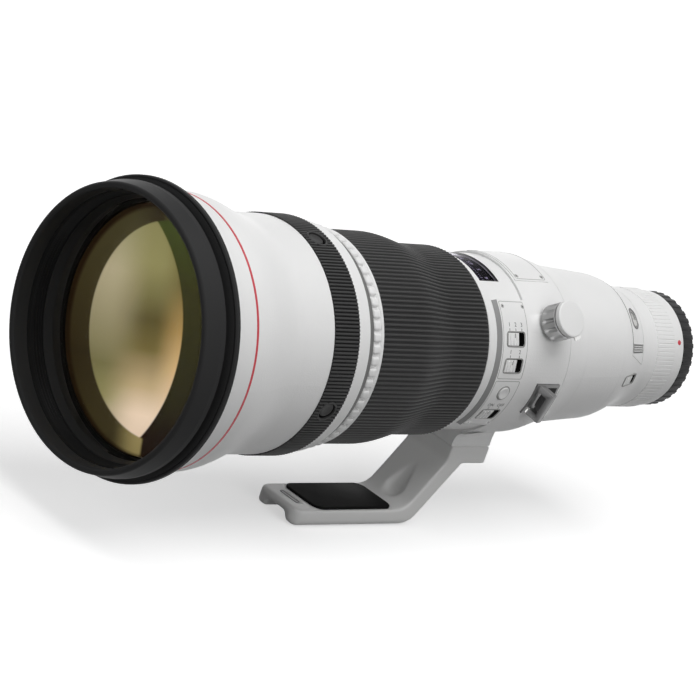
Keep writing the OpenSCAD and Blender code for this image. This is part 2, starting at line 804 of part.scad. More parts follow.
// Image stabiliser: a carrier that slides across and a cell that slides up and down on it
carrier_t = 3;
carrier_room = 1.4;
stab_hole_r = 27;
stab_cell_r = 30;
stab_glass_r = 24;
stab_cell_len = 9;
stab_glass_edge = 5;
stab_glass_sag = 2;
s_carrier = s_stab + stab_ledge_t + clear;
s_stab_cell = s_carrier + carrier_t + clear;
module stabiliser_carrier() {
    color(bare_metal) ring(stab_hole_r, main_in_r - stabiliser_travel - carrier_room,
        s_carrier, s_carrier + carrier_t);
}
module stabiliser_cell() {
    color(black_paint) lathe([
        [stab_glass_r - stab_ledge_t, s_stab_cell], [stab_cell_r, s_stab_cell],
        [stab_cell_r, s_stab_cell + stab_cell_len], [stab_glass_r + glass_fit, s_stab_cell + stab_cell_len],
        [stab_glass_r + glass_fit, s_stab_cell + stab_ledge_t],
        [stab_glass_r - stab_ledge_t, s_stab_cell + stab_ledge_t]
    ]);
}
module stabiliser_glass() {
    s_seat = s_stab_cell + stab_ledge_t;
    color(lens_tint) lathe(concat(
        reversed(dome_points(stab_glass_r, s_seat, 0.5 * stab_glass_sag, ramp_steps)),
        dome_points(stab_glass_r, s_seat + stab_glass_edge, stab_glass_sag, ramp_steps)
    ));
}

// Iris: a slotted housing with nine blades, drawn wide open
iris_rear_gap = 18;
iris_open_r = 31;
iris_wall = 1;
blade_count = 9;
blade_t = 0.6;
blade_gap = 2;
blade_w = 9;
s_iris = s_collar - iris_rear_gap;
module iris_unit() {
    slot_h = blade_t + 2 * clear;
    s_slot = s_iris + iris_wall;
    color(black_paint) union() {
        lathe([
            [iris_open_r, s_iris], [main_in_r, s_iris], [main_in_r, s_slot + slot_h + iris_wall],
            [iris_open_r, s_slot + slot_h + iris_wall], [iris_open_r, s_slot + slot_h],
            [main_in_r - iris_wall, s_slot + slot_h], [main_in_r - iris_wall, s_slot],
            [iris_open_r, s_slot]
        ]);
        for (k = [0:blade_count - 1])
            ring_sector(iris_open_r + clear, iris_open_r + clear + blade_w, s_slot + clear,
                s_slot + clear + blade_t, k * 360 / blade_count,
                (k + 1) * 360 / blade_count - blade_gap);
    }
}

// Circuit board behind the main tube, with its chips
board_t = 1.6;
board_in = 13;
chip_side = 7;
chip_t = 1.2;
chip_clocks = [20, 95, 150, 230, 300];
module circuit_board() {
    s_back = s_main - board_t;
    color([0.10, 0.32, 0.16]) ring(main_out_r - board_in, main_in_r + over, s_back, s_main);
    color(black_paint) for (clock = chip_clocks)
        radial_block(clock, s_back - chip_t / 2, chip_side, chip_t,
            main_out_r - board_in + chip_t, main_out_r - board_in + chip_t + chip_side);
}

// Rear casing with the filter bay
bay_web_t = 2;
bay_hole_r = 24.5;
rear_glass_r = 26;
rear_glass_edge = 7;
rear_glass_sag = 3;
rear_cell_t = 2.4;
rear_cell_len = 12;
drawer_edge_drop = 6.3;
drawer_half_w = tail_r - drawer_edge_drop;
// Rear slide switch: its window and its lever slope with the casing
rear_switch_clock = 95;
rear_slot_w = 6;
rear_slot_d = 1.8;
rear_switch_setback = 5.4;
s_rear_switch = s_taper - rear_switch_setback;
rear_switch_slope = atan((rear_r_at(s_rear_switch + slot_len / 2) - rear_r_at(s_rear_switch - slot_len / 2))
    / slot_len);
module sloped_block(w, from_y, to_y, depth, proud) {
    clocked(rear_switch_clock, s_rear_switch) translate([0, 0, rear_r_at(s_rear_switch)])
        rotate([-rear_switch_slope, 0, 0]) translate([-w / 2, from_y, -depth])
            cube([w, to_y - from_y, depth + proud]);
}
module rear_switch() {
    color(shade_paint) sloped_block(rear_slot_w - 2 * clear, clear - slot_len / 2,
        clear - slot_len / 2 + lever_len, rear_slot_d - clear, lever_proud);
}
module rear_barrel() {
    s_front_web = s_taper + bay_web_t;
    cell_out_r = rear_glass_r + glass_fit + rear_cell_t;
    outer_stations = concat(
        [s_tail], steps_between(s_flare, s_waist, 2 * ramp_steps - 1),
        steps_between(s_neck, s_collar, ramp_steps)
    );
    inner_stations = concat([s_front_web], steps_between(s_front_web + wall, s_waist, ramp_steps), [s_main]);
    color(white_paint) difference() {
        union() {
            difference() {
                lathe(concat([[0, s_tail]], [for (s = outer_stations) [rear_r_at(s), s]], [[0, s_collar]]));
                lathe(concat(
                    [[0, s_front_web]], [for (s = inner_stations) [rear_r_at(s) - wall, s]],
                    [[main_out_r, s_main], [main_out_r, s_collar + over], [0, s_collar + over]]
                ));
                lathe([[0, s_tail - over], [tail_r - wall, s_tail - over],
                    [tail_r - wall, s_drawer - bay_web_t], [0, s_drawer - bay_web_t]]);
                lathe([[0, s_drawer], [rear_r_at(s_drawer) - wall, s_drawer],
                    [rear_r_at(s_taper) - 2 * wall, s_taper], [0, s_taper]]);
                ring(0, bay_hole_r, s_tail, s_front_web + over);
            }
            ring(rear_glass_r + glass_fit, cell_out_r, s_taper + bay_web_t / 2, s_front_web + rear_cell_len);
        }
        radial_block(drawer_clock, s_drawer + drawer_len / 2, 2 * (drawer_half_w + clear), drawer_len,
            0, rear_r + far);
        sloped_block(rear_slot_w, -slot_len / 2, slot_len / 2, rear_slot_d, over);
    }
}
module rear_glass() {
    s_seat = s_taper + bay_web_t + rear_glass_sag;
    color(lens_tint) lathe(concat(
        reversed(dome_points(rear_glass_r, s_seat, -rear_glass_sag / 2, ramp_steps)),
        dome_points(rear_glass_r, s_seat + rear_glass_edge, rear_glass_sag, ramp_steps)
    ));
}

// Filter drawer: its outer wall follows the casing, and its frame holds the filter
drawer_wall = 2.6;
frame_t = 8;
frame_rim = 4;
frame_neck_inset = 3;
frame_neck_w = 2 * (filter_r - frame_neck_inset);
filter_glass_t = 2;
pad_offset = 40.8;
pad_half = 3.2;
pad_end_gap = 0.8;
inset_offset = 14;
inset_shift = 1;
inset_r = 3.5;
inset_len = 5;
inset_d = 1.6;
peg_r = 2;
module drawer_skin(drop_out, drop_in, s_from, s_to) {
    stations = steps_between(s_from, s_to, ramp_steps);
    lathe(concat([for (s = stations) [rear_r_at(s) - drop_out, s]],
        reversed([for (s = stations) [rear_r_at(s) - drop_in, s]])));
}
module release_pad_shape(grow) {
    s_from = s_drawer + clear + pad_end_gap - grow;
    s_to = s_taper - clear - pad_end_gap + grow;
    stations = steps_between(s_from, s_to, ramp_steps);
    grow_angle = grow / tail_r * 180 / PI;
    for (side = [-1, 1]) rotate([0, side * pad_offset, 0])
        lathe_sector(concat([for (s = stations) [rear_r_at(s) + grow, s]],
            reversed([for (s = stations) [rear_r_at(s) - drawer_wall - grow, s]])),
            -pad_half - grow_angle, pad_half + grow_angle);
}
module filter_drawer() {
    s_mid = s_drawer + drawer_len / 2;
    frame_r = filter_r + frame_rim;
    color(white_paint) rotate([0, drawer_clock, 0]) difference() {
        union() {
            intersection() {
                drawer_skin(0, drawer_wall, s_drawer + clear, s_taper - clear);
                translate([-drawer_half_w, -s_taper, 0]) cube([2 * drawer_half_w, drawer_len, rear_r]);
            }
            intersection() {
                union() {
                    ring(0, frame_r, s_mid - frame_t / 2, s_mid + frame_t / 2);
                    translate([-frame_neck_w / 2, -s_mid - frame_t / 2, 0])
                        cube([frame_neck_w, frame_t, rear_r]);
                }
                lathe(concat([[0, s_drawer]],
                    [for (s = steps_between(s_drawer, s_taper, ramp_steps)) [rear_r_at(s) - wall / 2, s]],
                    [[0, s_taper]]));
            }
        }
        ring(0, filter_r + glass_fit, s_drawer - over, s_taper + over);
        release_pad_shape(shaft_fit + glass_fit);
        rotate([0, inset_offset, 0])
            translate([0, -s_mid - inset_shift, rear_r_at(s_mid) - inset_d]) difference() {
                union() {
                    for (side = [-1, 1]) translate([side * inset_len / 2, 0, 0])
                        cylinder(h = far, r = inset_r, $fn = small_fn);
                    translate([-inset_len / 2, -inset_r, 0]) cube([inset_len, 2 * inset_r, far]);
                }
                translate([inset_len / 2, 0, -over]) cylinder(h = inset_d + over, r = peg_r, $fn = small_fn);
            }
    }
}
module filter_glass() {
    s_mid = s_drawer + drawer_len / 2;
    color(lens_tint) ring(0, filter_r, s_mid - filter_glass_t / 2, s_mid + filter_glass_t / 2);
}
module release_pad(side) {
    color(shade_paint) rotate([0, drawer_clock, 0]) intersection() {
        release_pad_shape(0);
        translate([side > 0 ? 0 : -rear_r, -s_taper, 0]) cube([rear_r, drawer_len, rear_r]);
    }
}
module release_pad_left() { release_pad(1); }
module release_pad_right() { release_pad(-1); }

// Ribbed ring and mount
rib_lift = 0.4;
rim_drop = 1.3;
grip_spigot_len = 6;
grip_wall = 2.4;
grip_floor_t = 3.4;
mount_spigot_h = 0.2;
module rear_grip() {
    spigot_r = tail_r - wall;
    color(white_paint) difference() {
        lathe([
            [throat_r + mount_spigot_h, s_rim], [tail_r - rim_drop, s_rim],
            [tail_r - rim_drop / 2, s_rib], [tail_r - rib_lift, s_rib], [tail_r - rib_lift, s_tail],
            [spigot_r, s_tail], [spigot_r, s_tail + grip_spigot_len],
            [spigot_r - grip_wall, s_tail + grip_spigot_len], [spigot_r - grip_wall, s_rim + grip_floor_t],
            [throat_r + mount_spigot_h, s_rim + grip_floor_t]
        ]);
        mount_screw_shapes(0);
    }
}
baffle_wall = 1.2;
baffle_flare = 4.6;
module rear_baffle() {
    out_r = throat_r + mount_spigot_h;
    s_end = s_drawer - bay_web_t;
    color(black_paint) lathe([
        [out_r - baffle_wall, s_rim / 2], [out_r, s_rim / 2], [out_r, s_rim + grip_floor_t],
        [out_r + baffle_flare, s_end], [out_r + baffle_flare - baffle_wall, s_end],
        [out_r - baffle_wall, s_rim + grip_floor_t]
    ]);
}
throat_wall = 1.8;
lug_t = 1.6;
lug_setback = 3;
lug_clocks = [60, 180, 300];
screw_circle_r = 29.2;
mount_screw_r = 1.5;
mount_screw_len = 6.2;
mount_screw_clocks = [35, 125, 215, 305];
module mount_screw_shapes(extra) {
    for (clock = mount_screw_clocks) rotate([0, clock, 0]) translate([0, 0, screw_circle_r])
        rotate([90, 0, 0]) translate([0, 0, -extra])
            cylinder(h = mount_screw_len + extra, r = mount_screw_r, $fn = small_fn);
}
module mount_ring() {
    color(bare_metal) difference() {
        union() {
            lathe([
                [throat_r - throat_wall, -throat_len], [throat_r, -throat_len], [throat_r, 0],
                [mount_r, 0], [mount_r, s_rim], [throat_r + mount_spigot_h, s_rim],
                [throat_r + mount_spigot_h, s_rim / 2], [throat_r - throat_wall, s_rim / 2]
            ]);
            for (clock = lug_clocks)
                ring_sector(throat_r - throat_wall / 2, throat_r + lug_h, -lug_setback - lug_t,
                    -lug_setback, clock - lug_angle / 2, clock + lug_angle / 2);
        }
        mount_screw_shapes(over);
    }
}
module case_screws() {
    color(bare_metal) {
        mount_screw_shapes(0);
        panel_screw_holes(pad_r - panel_screw_len, pad_r);
    }
}
contact_half = 30;
contact_t = 2.8;
contact_len = 4.4;
contact_setback = 4;
contact_pins = 8;
contact_pin_r = 0.8;
contact_pin_proud = 0.4;
module contact_block() {
    r_out = throat_r - throat_wall - shaft_fit;
    color(black_paint)
        ring_sector(r_out - contact_t, r_out, -contact_setback, contact_len - contact_setback,
            180 - contact_half, 180 + contact_half);
    color("gold") for (k = [0:contact_pins - 1])
        rotate([0, 180 + contact_half * ((2 * k + 1) / contact_pins - 1), 0])
            translate([0, contact_setback - contact_pin_r, r_out - contact_t / 2]) rotate([-90, 0, 0])
                cylinder(h = contact_pin_r + contact_pin_proud, r = contact_pin_r, $fn = small_fn);
}
cap_tab_h = 1.4;
cap_tab_t = 1.6;
cap_tab_gap = 1;
cap_round = 1.2;
cap_room = 0.7;
module rear_cap() {
    skirt_r = mount_r + clear;
    bore_r = throat_r + lug_h + clear;
    s_skirt = s_rim - clear;
    s_floor = -throat_len - cap_room;
    s_end = s_floor - cap_end_t;
    color(black_rubber) union() {
        lathe([
            [0, s_end], [cap_r - cap_round, s_end], [cap_r, s_end + cap_round],
            [cap_r, s_skirt - cap_round / 2], [cap_r - cap_round / 2, s_skirt], [skirt_r, s_skirt],
            [skirt_r, -clear], [bore_r, -clear], [bore_r, s_floor], [0, s_floor]
        ]);
        for (clock = lug_clocks)
            ring_sector(bore_r - cap_tab_h, bore_r + cap_tab_h, -cap_tab_gap - cap_tab_t, -cap_tab_gap,
                clock + 60 - lug_angle / 2, clock + 60 + lug_angle / 2);
    }
}

// Tripod collar
boss_half_w = 17;
boss_flare = 6;
boss_fillet_drop = 8;
s_foot = s_collar + foot_rear_gap;
knob_seat_r = 8;
knob_seat_h = 1.4;
knob_setback = 18.5;
s_knob = s_collar + knob_setback;
knob_gap_r = collar_r + knob_seat_h;
plate_half = 23.5;
plate_len = 29.3;
plate_front_gap = 1.7;
plate_d = 0.6;
plate_proud = 0.5;
plate_screw_r = 1.5;
plate_screw_d = 2;
plate_screw_clock = 19.5;
plate_screw_inset = 3.6;
s_plate = s_control - plate_front_gap;
lug_clock = 103.5;
lug_half = 11.5;
lug_base_drop = 1;
lug_base_h = 1.2;
lug_rear_gap = 5;
lug_base_len = 19.5;
lug_bar_t = 3;
lug_post_w = 4;
lug_bar_len = 4.5;
lug_lean = 12;
s_lug = s_collar + lug_rear_gap;
foot_screw_r = 2.5;
foot_screw_head_r = 4.2;
foot_screw_head_h = 5;
foot_screw_side = 11;
foot_screw_setback = 5.5;
foot_screw_pitch = 11;
foot_screw_bite = 5;
foot_screw_cover = 1;
module plate_screws(from_r, to_r) {
    for (clock = [-plate_screw_clock, plate_screw_clock])
        for (s = [s_plate - plate_screw_inset, s_plate - plate_len + plate_screw_inset])
            radial_bar(clock, s, plate_screw_r, from_r, to_r);
}
module lug_base_shape(extra) {
    for (side = [-1, 1]) rotate([0, side * lug_clock, 0])
        ring_sector(collar_r - lug_base_drop, collar_r + lug_base_h + extra, s_lug,
            s_lug + lug_base_len, -lug_half, lug_half);
}
module foot_screw_bars(r, from_drop, to_drop) {
    for (x = [-foot_screw_side, foot_screw_side])
        for (s = [s_foot + foot_screw_setback, s_foot + foot_screw_setback + foot_screw_pitch])
            translate([x, -s, -to_drop]) cylinder(h = to_drop - from_drop, r = r, $fn = small_fn);
}
module collar_ring() {
    s_from = s_collar + clear;
    s_to = s_control - clear;
    inner_r = collar_run_r + clear;
    flare = [for (s = steps_between(s_from, s_shoulder, ramp_steps)) [rear_r_at(s), s]];
    fillet = [for (a = steps_between(0, 90, ramp_steps / 2))
        [boss_half_w + boss_flare * (1 - cos(a)), boss_fillet_drop * sin(a) + wall - foot_seam_drop]];
    color(white_paint) difference() {
        union() {
            lathe(concat(flare, [[collar_r, s_to], [inner_r, s_to], [inner_r, s_from]]));
            translate([0, -s_foot, 0]) rotate([90, 0, 0]) linear_extrude(height = foot_block_len)
                polygon(concat(
                    [[-boss_half_w, -foot_seam_drop], [boss_half_w, -foot_seam_drop]],
                    fillet, reversed([for (p = fillet) [-p[0], p[1]]])
                ));
            radial_bar(knob_clock, s_knob, knob_seat_r, inner_r, knob_gap_r);
        }
        ring(0, inner_r, s_collar, s_control);
        radial_bar(knob_clock, s_knob, knob_screw_r + shaft_fit, inner_r - over, knob_gap_r + over);
        ring_sector(collar_r - plate_d, collar_r + over, s_plate - plate_len, s_plate,
            -plate_half, plate_half);
        plate_screws(collar_r - plate_screw_d, collar_r + over);
        lug_base_shape(over);
        foot_screw_bars(foot_screw_r, foot_seam_drop - foot_screw_bite, foot_seam_drop + over);
    }
}
module nameplate() {
    color(bare_metal) difference() {
        ring_sector(collar_r - plate_d, collar_r + plate_proud, s_plate - plate_len, s_plate,
            -plate_half, plate_half);
        plate_screws(collar_r - plate_screw_d, collar_r + over);
    }
}
module strap_lugs() {
    base_top = collar_r + lug_base_h;
    root_r = collar_r - lug_base_drop + glass_fit;
    out_w = strap_slot_w + 2 * lug_post_w;
    bar_top = base_top + strap_slot_h + lug_bar_t;
    color(black_paint) {
        lug_base_shape(0);
        for (side = [-1, 1]) clocked(side * lug_clock, s_lug + lug_base_len - lug_bar_len)
            difference() {
                translate([0, 0, root_r]) rotate([-lug_lean, 0, 0])
                    translate([-out_w / 2, -lug_bar_len / 2, 0])
                        cube([out_w, lug_bar_len, bar_top - root_r]);
                translate([-strap_slot_w / 2, -far, base_top]) cube([strap_slot_w, 2 * far, strap_slot_h]);
                translate([-out_w, -far, 0]) cube([2 * out_w, 2 * far, root_r + glass_fit]);
            }
    }
}
flute_count = 12;
flute_r = 2.2;
flute_d = 1.1;
flute_base = 1.6;
module collar_knob() {
    base_r = knob_gap_r + clear;
    color(shade_paint) clocked(knob_clock, s_knob) union() {
        translate([0, 0, collar_run_r + shaft_fit + glass_fit])
            cylinder(h = base_r - collar_run_r, r = knob_screw_r, $fn = small_fn);
        difference() {
            translate([0, 0, base_r]) cylinder(h = knob_h, r = knob_r, $fn = round_fn);
            for (k = [0:flute_count - 1]) rotate(k * 360 / flute_count)
                translate([knob_r + flute_r - flute_d, 0, base_r + flute_base])
                    cylinder(h = knob_h - 2 * flute_base, r = flute_r, $fn = small_fn);
        }
    }
}

// Foot: a block under the collar, a sloping arm and a level plate
bend_out_r = 18;
bend_in_r = 15;
foot_corner_r = 8;
foot_edge_r = 4;
foot_front_bevel = 3;
pad_half_w = 16;
pad_gap = 18;
pad_len = 64;
pad_sink = 1.2;
pad_rise = 1;
pad_corner_r = 6;
key_slot_w = 16;
key_slot_len = 2.6;
key_slot_d = 2;
key_slot_gap = 8;
toe_rail_w = 9.5;
toe_arch_h = 6;
toe_arch_len = 14;
toe_arch_r = 3;
scoop_r = 8.5;
scoop_tip_r = 2;
scoop_len = 28;
scoop_lift = 3.2;
scoop_rise = 7.5;
hole_front_gap = 38;
small_hole_gap = 17;
bend_reach = 24.6;
s_bend = s_foot + foot_block_len + bend_reach;
s_toe = s_bend + foot_plate_len;
foot_top_drop = foot_drop - foot_plate_t;
module foot_side() {
    block_drop = foot_seam_drop + foot_block_t;
    s_block = s_foot + foot_block_len;
    under_end = [s_bend - bend_out_r * sin(foot_slope), -foot_drop + bend_out_r * (1 - cos(foot_slope))];
    heel = [under_end[0] - (-block_drop - under_end[1]) / tan(foot_slope), -block_drop];
    top_end = [s_block, -block_drop + foot_front_bevel / 2];
    top_arc_start = s_bend + bend_in_lead;
    polygon(concat(
        [[s_foot, -foot_seam_drop], [s_foot, -block_drop], heel],
        [for (a = steps_between(foot_slope, 0, ramp_steps))
            [s_bend - bend_out_r * sin(a), -foot_drop + bend_out_r * (1 - cos(a))]],
        [[s_toe - foot_front_bevel, -foot_drop], [s_toe, -foot_drop + foot_front_bevel],
         [s_toe, -foot_top_drop - foot_front_bevel / 2], [s_toe - foot_front_bevel / 2, -foot_top_drop]],
        [for (a = steps_between(0, foot_slope, ramp_steps))
            [top_arc_start - bend_in_r * sin(a), -foot_top_drop + bend_in_r * (1 - cos(a))]],
        [top_end, [s_block, -foot_seam_drop]]
    ));
}
bend_in_lead = 5;
// Arch under the toe, between its two rails
module toe_arch() {
    half_w = foot_w / 2 - toe_rail_w;
    translate([0, toe_arch_len - s_toe, -foot_drop]) rotate([90, 0, 0])
        linear_extrude(height = toe_arch_len + over) union() {
            translate([-half_w, -over]) square([2 * half_w, toe_arch_h - toe_arch_r + over]);
            translate([toe_arch_r - half_w, -over])
                square([2 * (half_w - toe_arch_r), toe_arch_h + over]);
            for (x = [-1, 1]) translate([x * (half_w - toe_arch_r), toe_arch_h - toe_arch_r])
                circle(r = toe_arch_r, $fn = small_fn);
        }
}
// Scoop in the front of the arm, deep at the bend and running out upwards
module arm_scoop() {
    s_scoop = s_bend + bend_in_lead - bend_in_r * sin(foot_slope);
    translate([0, -s_scoop, -foot_top_drop + scoop_rise]) rotate([foot_slope - 90, 0, 0])
        translate([0, -scoop_lift, 0]) union() {
            cylinder(h = scoop_len, r1 = scoop_r, r2 = scoop_tip_r, $fn = small_fn);
            sphere(r = scoop_r, $fn = small_fn);
        }
}
module foot_casting() {
    s_hole = s_toe - hole_front_gap;
    head_drop = foot_seam_drop + foot_block_t - foot_screw_cover;
    difference() {
        intersection() {
            translate([foot_w / 2, 0, 0]) rotate([90, 0, -90]) linear_extrude(height = foot_w) foot_side();
            // Round corners of the plate, seen from above
            translate([0, 0, -foot_drop - over]) linear_extrude(height = foot_drop) union() {
                translate([-foot_w / 2, -s_toe + foot_corner_r]) square([foot_w, s_toe]);
                translate([-foot_w / 2 + foot_corner_r, -s_toe]) square([foot_w - 2 * foot_corner_r, s_toe]);
                for (x = [-1, 1]) translate([x * (foot_w / 2 - foot_corner_r), -s_toe + foot_corner_r])
                    circle(r = foot_corner_r, $fn = small_fn);
            }
            // Round lower edges, seen along the axis
            rotate([90, 0, 0]) linear_extrude(height = s_toe + over) union() {
                translate([-foot_w / 2, -foot_drop + foot_edge_r]) square([foot_w, foot_drop]);
                translate([-foot_w / 2 + foot_edge_r, -foot_drop])
                    square([foot_w - 2 * foot_edge_r, foot_drop]);
                for (x = [-1, 1]) translate([x * (foot_w / 2 - foot_edge_r), -foot_drop + foot_edge_r])
                    circle(r = foot_edge_r, $fn = small_fn);
            }
        }
        foot_pad_shape(pad_rise);
        toe_arch();
        arm_scoop();
        translate([-key_slot_w / 2, -s_toe + pad_gap - key_slot_gap, -foot_top_drop - key_slot_d])
            cube([key_slot_w, key_slot_len, key_slot_d + over]);
        translate([0, -s_hole, -foot_drop - over])
            cylinder(h = tripod_hole_len + over, r = tripod_hole_r, $fn = small_fn);
        translate([0, -s_hole - small_hole_gap, -foot_drop - over])
            cylinder(h = tripod_hole_len + over, r = small_hole_r, $fn = small_fn);
        foot_screw_bars(foot_screw_r, foot_seam_drop - over, foot_seam_drop + foot_block_t + over);
        foot_screw_bars(foot_screw_head_r, head_drop - foot_screw_head_h,
            foot_seam_drop + foot_block_t + over);
    }
}
// The casting is kept as a plate and an arm, so that the collision follows its bend
foot_cut_lead = 2;
s_foot_cut = s_bend + bend_in_lead - foot_cut_lead;
module foot_stretch(s_from, s_to) {
    intersection() {
        foot_casting();
        translate([-foot_w, -s_to, -2 * foot_drop]) cube([2 * foot_w, s_to - s_from, 2 * foot_drop]);
    }
}
module foot() { color(shade_paint) foot_stretch(s_foot_cut, s_toe + over); }
module foot_arm() { color(shade_paint) foot_stretch(s_foot - over, s_foot_cut); }
module foot_pad_shape(extra) {
    translate([0, pad_gap - s_toe, -foot_top_drop - pad_sink])
        linear_extrude(height = pad_sink + extra) union() {
        translate([-pad_half_w, pad_corner_r]) square([2 * pad_half_w, pad_len - 2 * pad_corner_r]);
        translate([-pad_half_w + pad_corner_r, 0]) square([2 * (pad_half_w - pad_corner_r), pad_len]);
        for (x = [-1, 1]) for (y = [pad_corner_r, pad_len - pad_corner_r])
            translate([x * (pad_half_w - pad_corner_r), y]) circle(r = pad_corner_r, $fn = small_fn);
    }
}
module foot_pad() { color(black_rubber) foot_pad_shape(pad_rise); }
// Screws of the collar: four in the nameplate and four that hold the foot
module collar_screws() {
    head_drop = foot_seam_drop + foot_block_t - foot_screw_cover;
    color(bare_metal) {
        plate_screws(collar_r - plate_screw_d, collar_r + plate_proud);
        difference() {
            union() {
                foot_screw_bars(foot_screw_r, foot_seam_drop - foot_screw_bite, head_drop);
                foot_screw_bars(foot_screw_head_r, head_drop - foot_screw_head_h, head_drop);
            }
            foot_screw_bars(foot_screw_r / 2, head_drop - foot_screw_head_h / 2, head_drop + over);
        }
    }
}

front_bumper();
hood_ring();
baffle_rings();
front_glass();
front_barrel();
accent_ring();
second_cell();
second_glass();
stop_barrel();
grip_band();
spacer_ring();
inner_barrel();
control_barrel();
distance_window();
upper_switch_panel();
lower_switch_panel();
case_screws();
guide_tube();
focus_motor();
main_tube();
rear_barrel();
rear_grip();
rear_baffle();
mount_ring();
contact_block();
rear_glass();
iris_unit();
circuit_board();
stop_button(0);  // stop_button_1
stop_button(1);  // stop_button_2
stop_button(2);  // stop_button_3
stop_button(3);  // stop_button_4
playback_ring();
focus_ring();
focus_grip();
focus_mode_switch();
range_switch();
stabiliser_switch();
rear_switch();
preset_button();
collar_ring();
nameplate();
collar_screws();
strap_lugs();
foot();
foot_arm();
foot_pad();
collar_knob();
filter_drawer();
filter_glass();
release_pad_left();
release_pad_right();
cam_ring();
distance_scale();
focus_cell();
focus_glass();
stabiliser_carrier();
stabiliser_cell();
stabiliser_glass();
rear_cap();
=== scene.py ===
# Super telephoto lens: finishes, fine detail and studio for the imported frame.
import math

import bmesh
import bpy
from mathutils import Matrix, Vector


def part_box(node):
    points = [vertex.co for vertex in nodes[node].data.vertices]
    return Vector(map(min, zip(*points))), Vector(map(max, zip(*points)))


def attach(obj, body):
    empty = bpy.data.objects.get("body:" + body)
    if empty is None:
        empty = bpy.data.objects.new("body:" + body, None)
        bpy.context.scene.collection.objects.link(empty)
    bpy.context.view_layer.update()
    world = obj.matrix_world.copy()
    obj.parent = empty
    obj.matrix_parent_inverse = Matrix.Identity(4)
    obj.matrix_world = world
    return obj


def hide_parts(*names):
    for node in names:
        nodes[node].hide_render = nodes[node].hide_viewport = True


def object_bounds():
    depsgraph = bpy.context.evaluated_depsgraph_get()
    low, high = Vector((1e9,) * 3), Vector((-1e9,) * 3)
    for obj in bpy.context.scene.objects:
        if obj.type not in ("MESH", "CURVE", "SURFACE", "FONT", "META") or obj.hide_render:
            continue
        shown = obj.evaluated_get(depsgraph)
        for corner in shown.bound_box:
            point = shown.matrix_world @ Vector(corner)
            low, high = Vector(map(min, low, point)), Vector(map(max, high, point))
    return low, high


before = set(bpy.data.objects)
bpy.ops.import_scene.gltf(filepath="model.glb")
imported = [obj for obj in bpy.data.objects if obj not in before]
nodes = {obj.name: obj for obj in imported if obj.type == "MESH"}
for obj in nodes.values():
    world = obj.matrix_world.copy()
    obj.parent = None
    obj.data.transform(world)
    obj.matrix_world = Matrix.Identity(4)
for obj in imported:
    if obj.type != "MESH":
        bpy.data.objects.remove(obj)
cad_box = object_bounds()
MM = 0.001
WELD = 2e-6  # in metres: corners of a copied solid that lie nearer than this are one
HAIR = 1e-7  # in metres: less than any step of a form made here


# Places round the lens axis: a clock angle from the top towards the switch side, and
# a station in front of the mount's flange, both as on the construction drawings.
def turn_to(clock):
    return Matrix.Rotation(math.radians(clock), 4, "Y")


def place(clock, station, radius):
    return turn_to(clock) @ Matrix.Translation((0, -station * MM, radius * MM))


# Finishes


def new_node(tree, kind, **settings):
    node = tree.nodes.new(kind)
    for key, value in settings.items():
        setattr(node, key, value)
    return node


def new_material(name):
    material = bpy.data.materials.new(name)
    material.use_nodes = True
    material.node_tree.nodes.clear()
    return material


class Finish:
    """A material's nodes, with short calls to add and join them."""

    def __init__(self, name):
        self.material = new_material(name)
        self.tree = self.material.node_tree
        self.shader = self.add("ShaderNodeBsdfPrincipled")
        output = self.add("ShaderNodeOutputMaterial")
        self.join(self.shader, "BSDF", output, "Surface")

    def add(self, kind, **settings):
        return new_node(self.tree, kind, **settings)

    def join(self, source, out, target, into):
        self.tree.links.new(source.outputs[out], target.inputs[into])

    def group(self, tree, **values):
        node = self.add("ShaderNodeGroup", node_tree=tree)
        for key, value in values.items():
            node.inputs[key.replace("_", " ")].default_value = value
        return node

    def set(self, **values):
        for key, value in values.items():
            self.shader.inputs[key.replace("_", " ")].default_value = value

    def bump(self, source, out, distance):
        bump = self.add("ShaderNodeBump")
        bump.inputs["Distance"].default_value = distance
        self.join(source, out, bump, "Height")
        self.join(bump, "Normal", self.shader, "Normal")


def new_group(name, inputs, outputs):
    """A shader node group with its sockets, and its input and output nodes."""
    tree = bpy.data.node_groups.new(name, "ShaderNodeTree")
    for label, kind, value in inputs:
        socket = tree.interface.new_socket(label, in_out="INPUT", socket_type=kind)
        socket.default_value = value
    for label, kind in outputs:
        tree.interface.new_socket(label, in_out="OUTPUT", socket_type=kind)
    return tree, tree.nodes.new("NodeGroupInput"), tree.nodes.new("NodeGroupOutput")


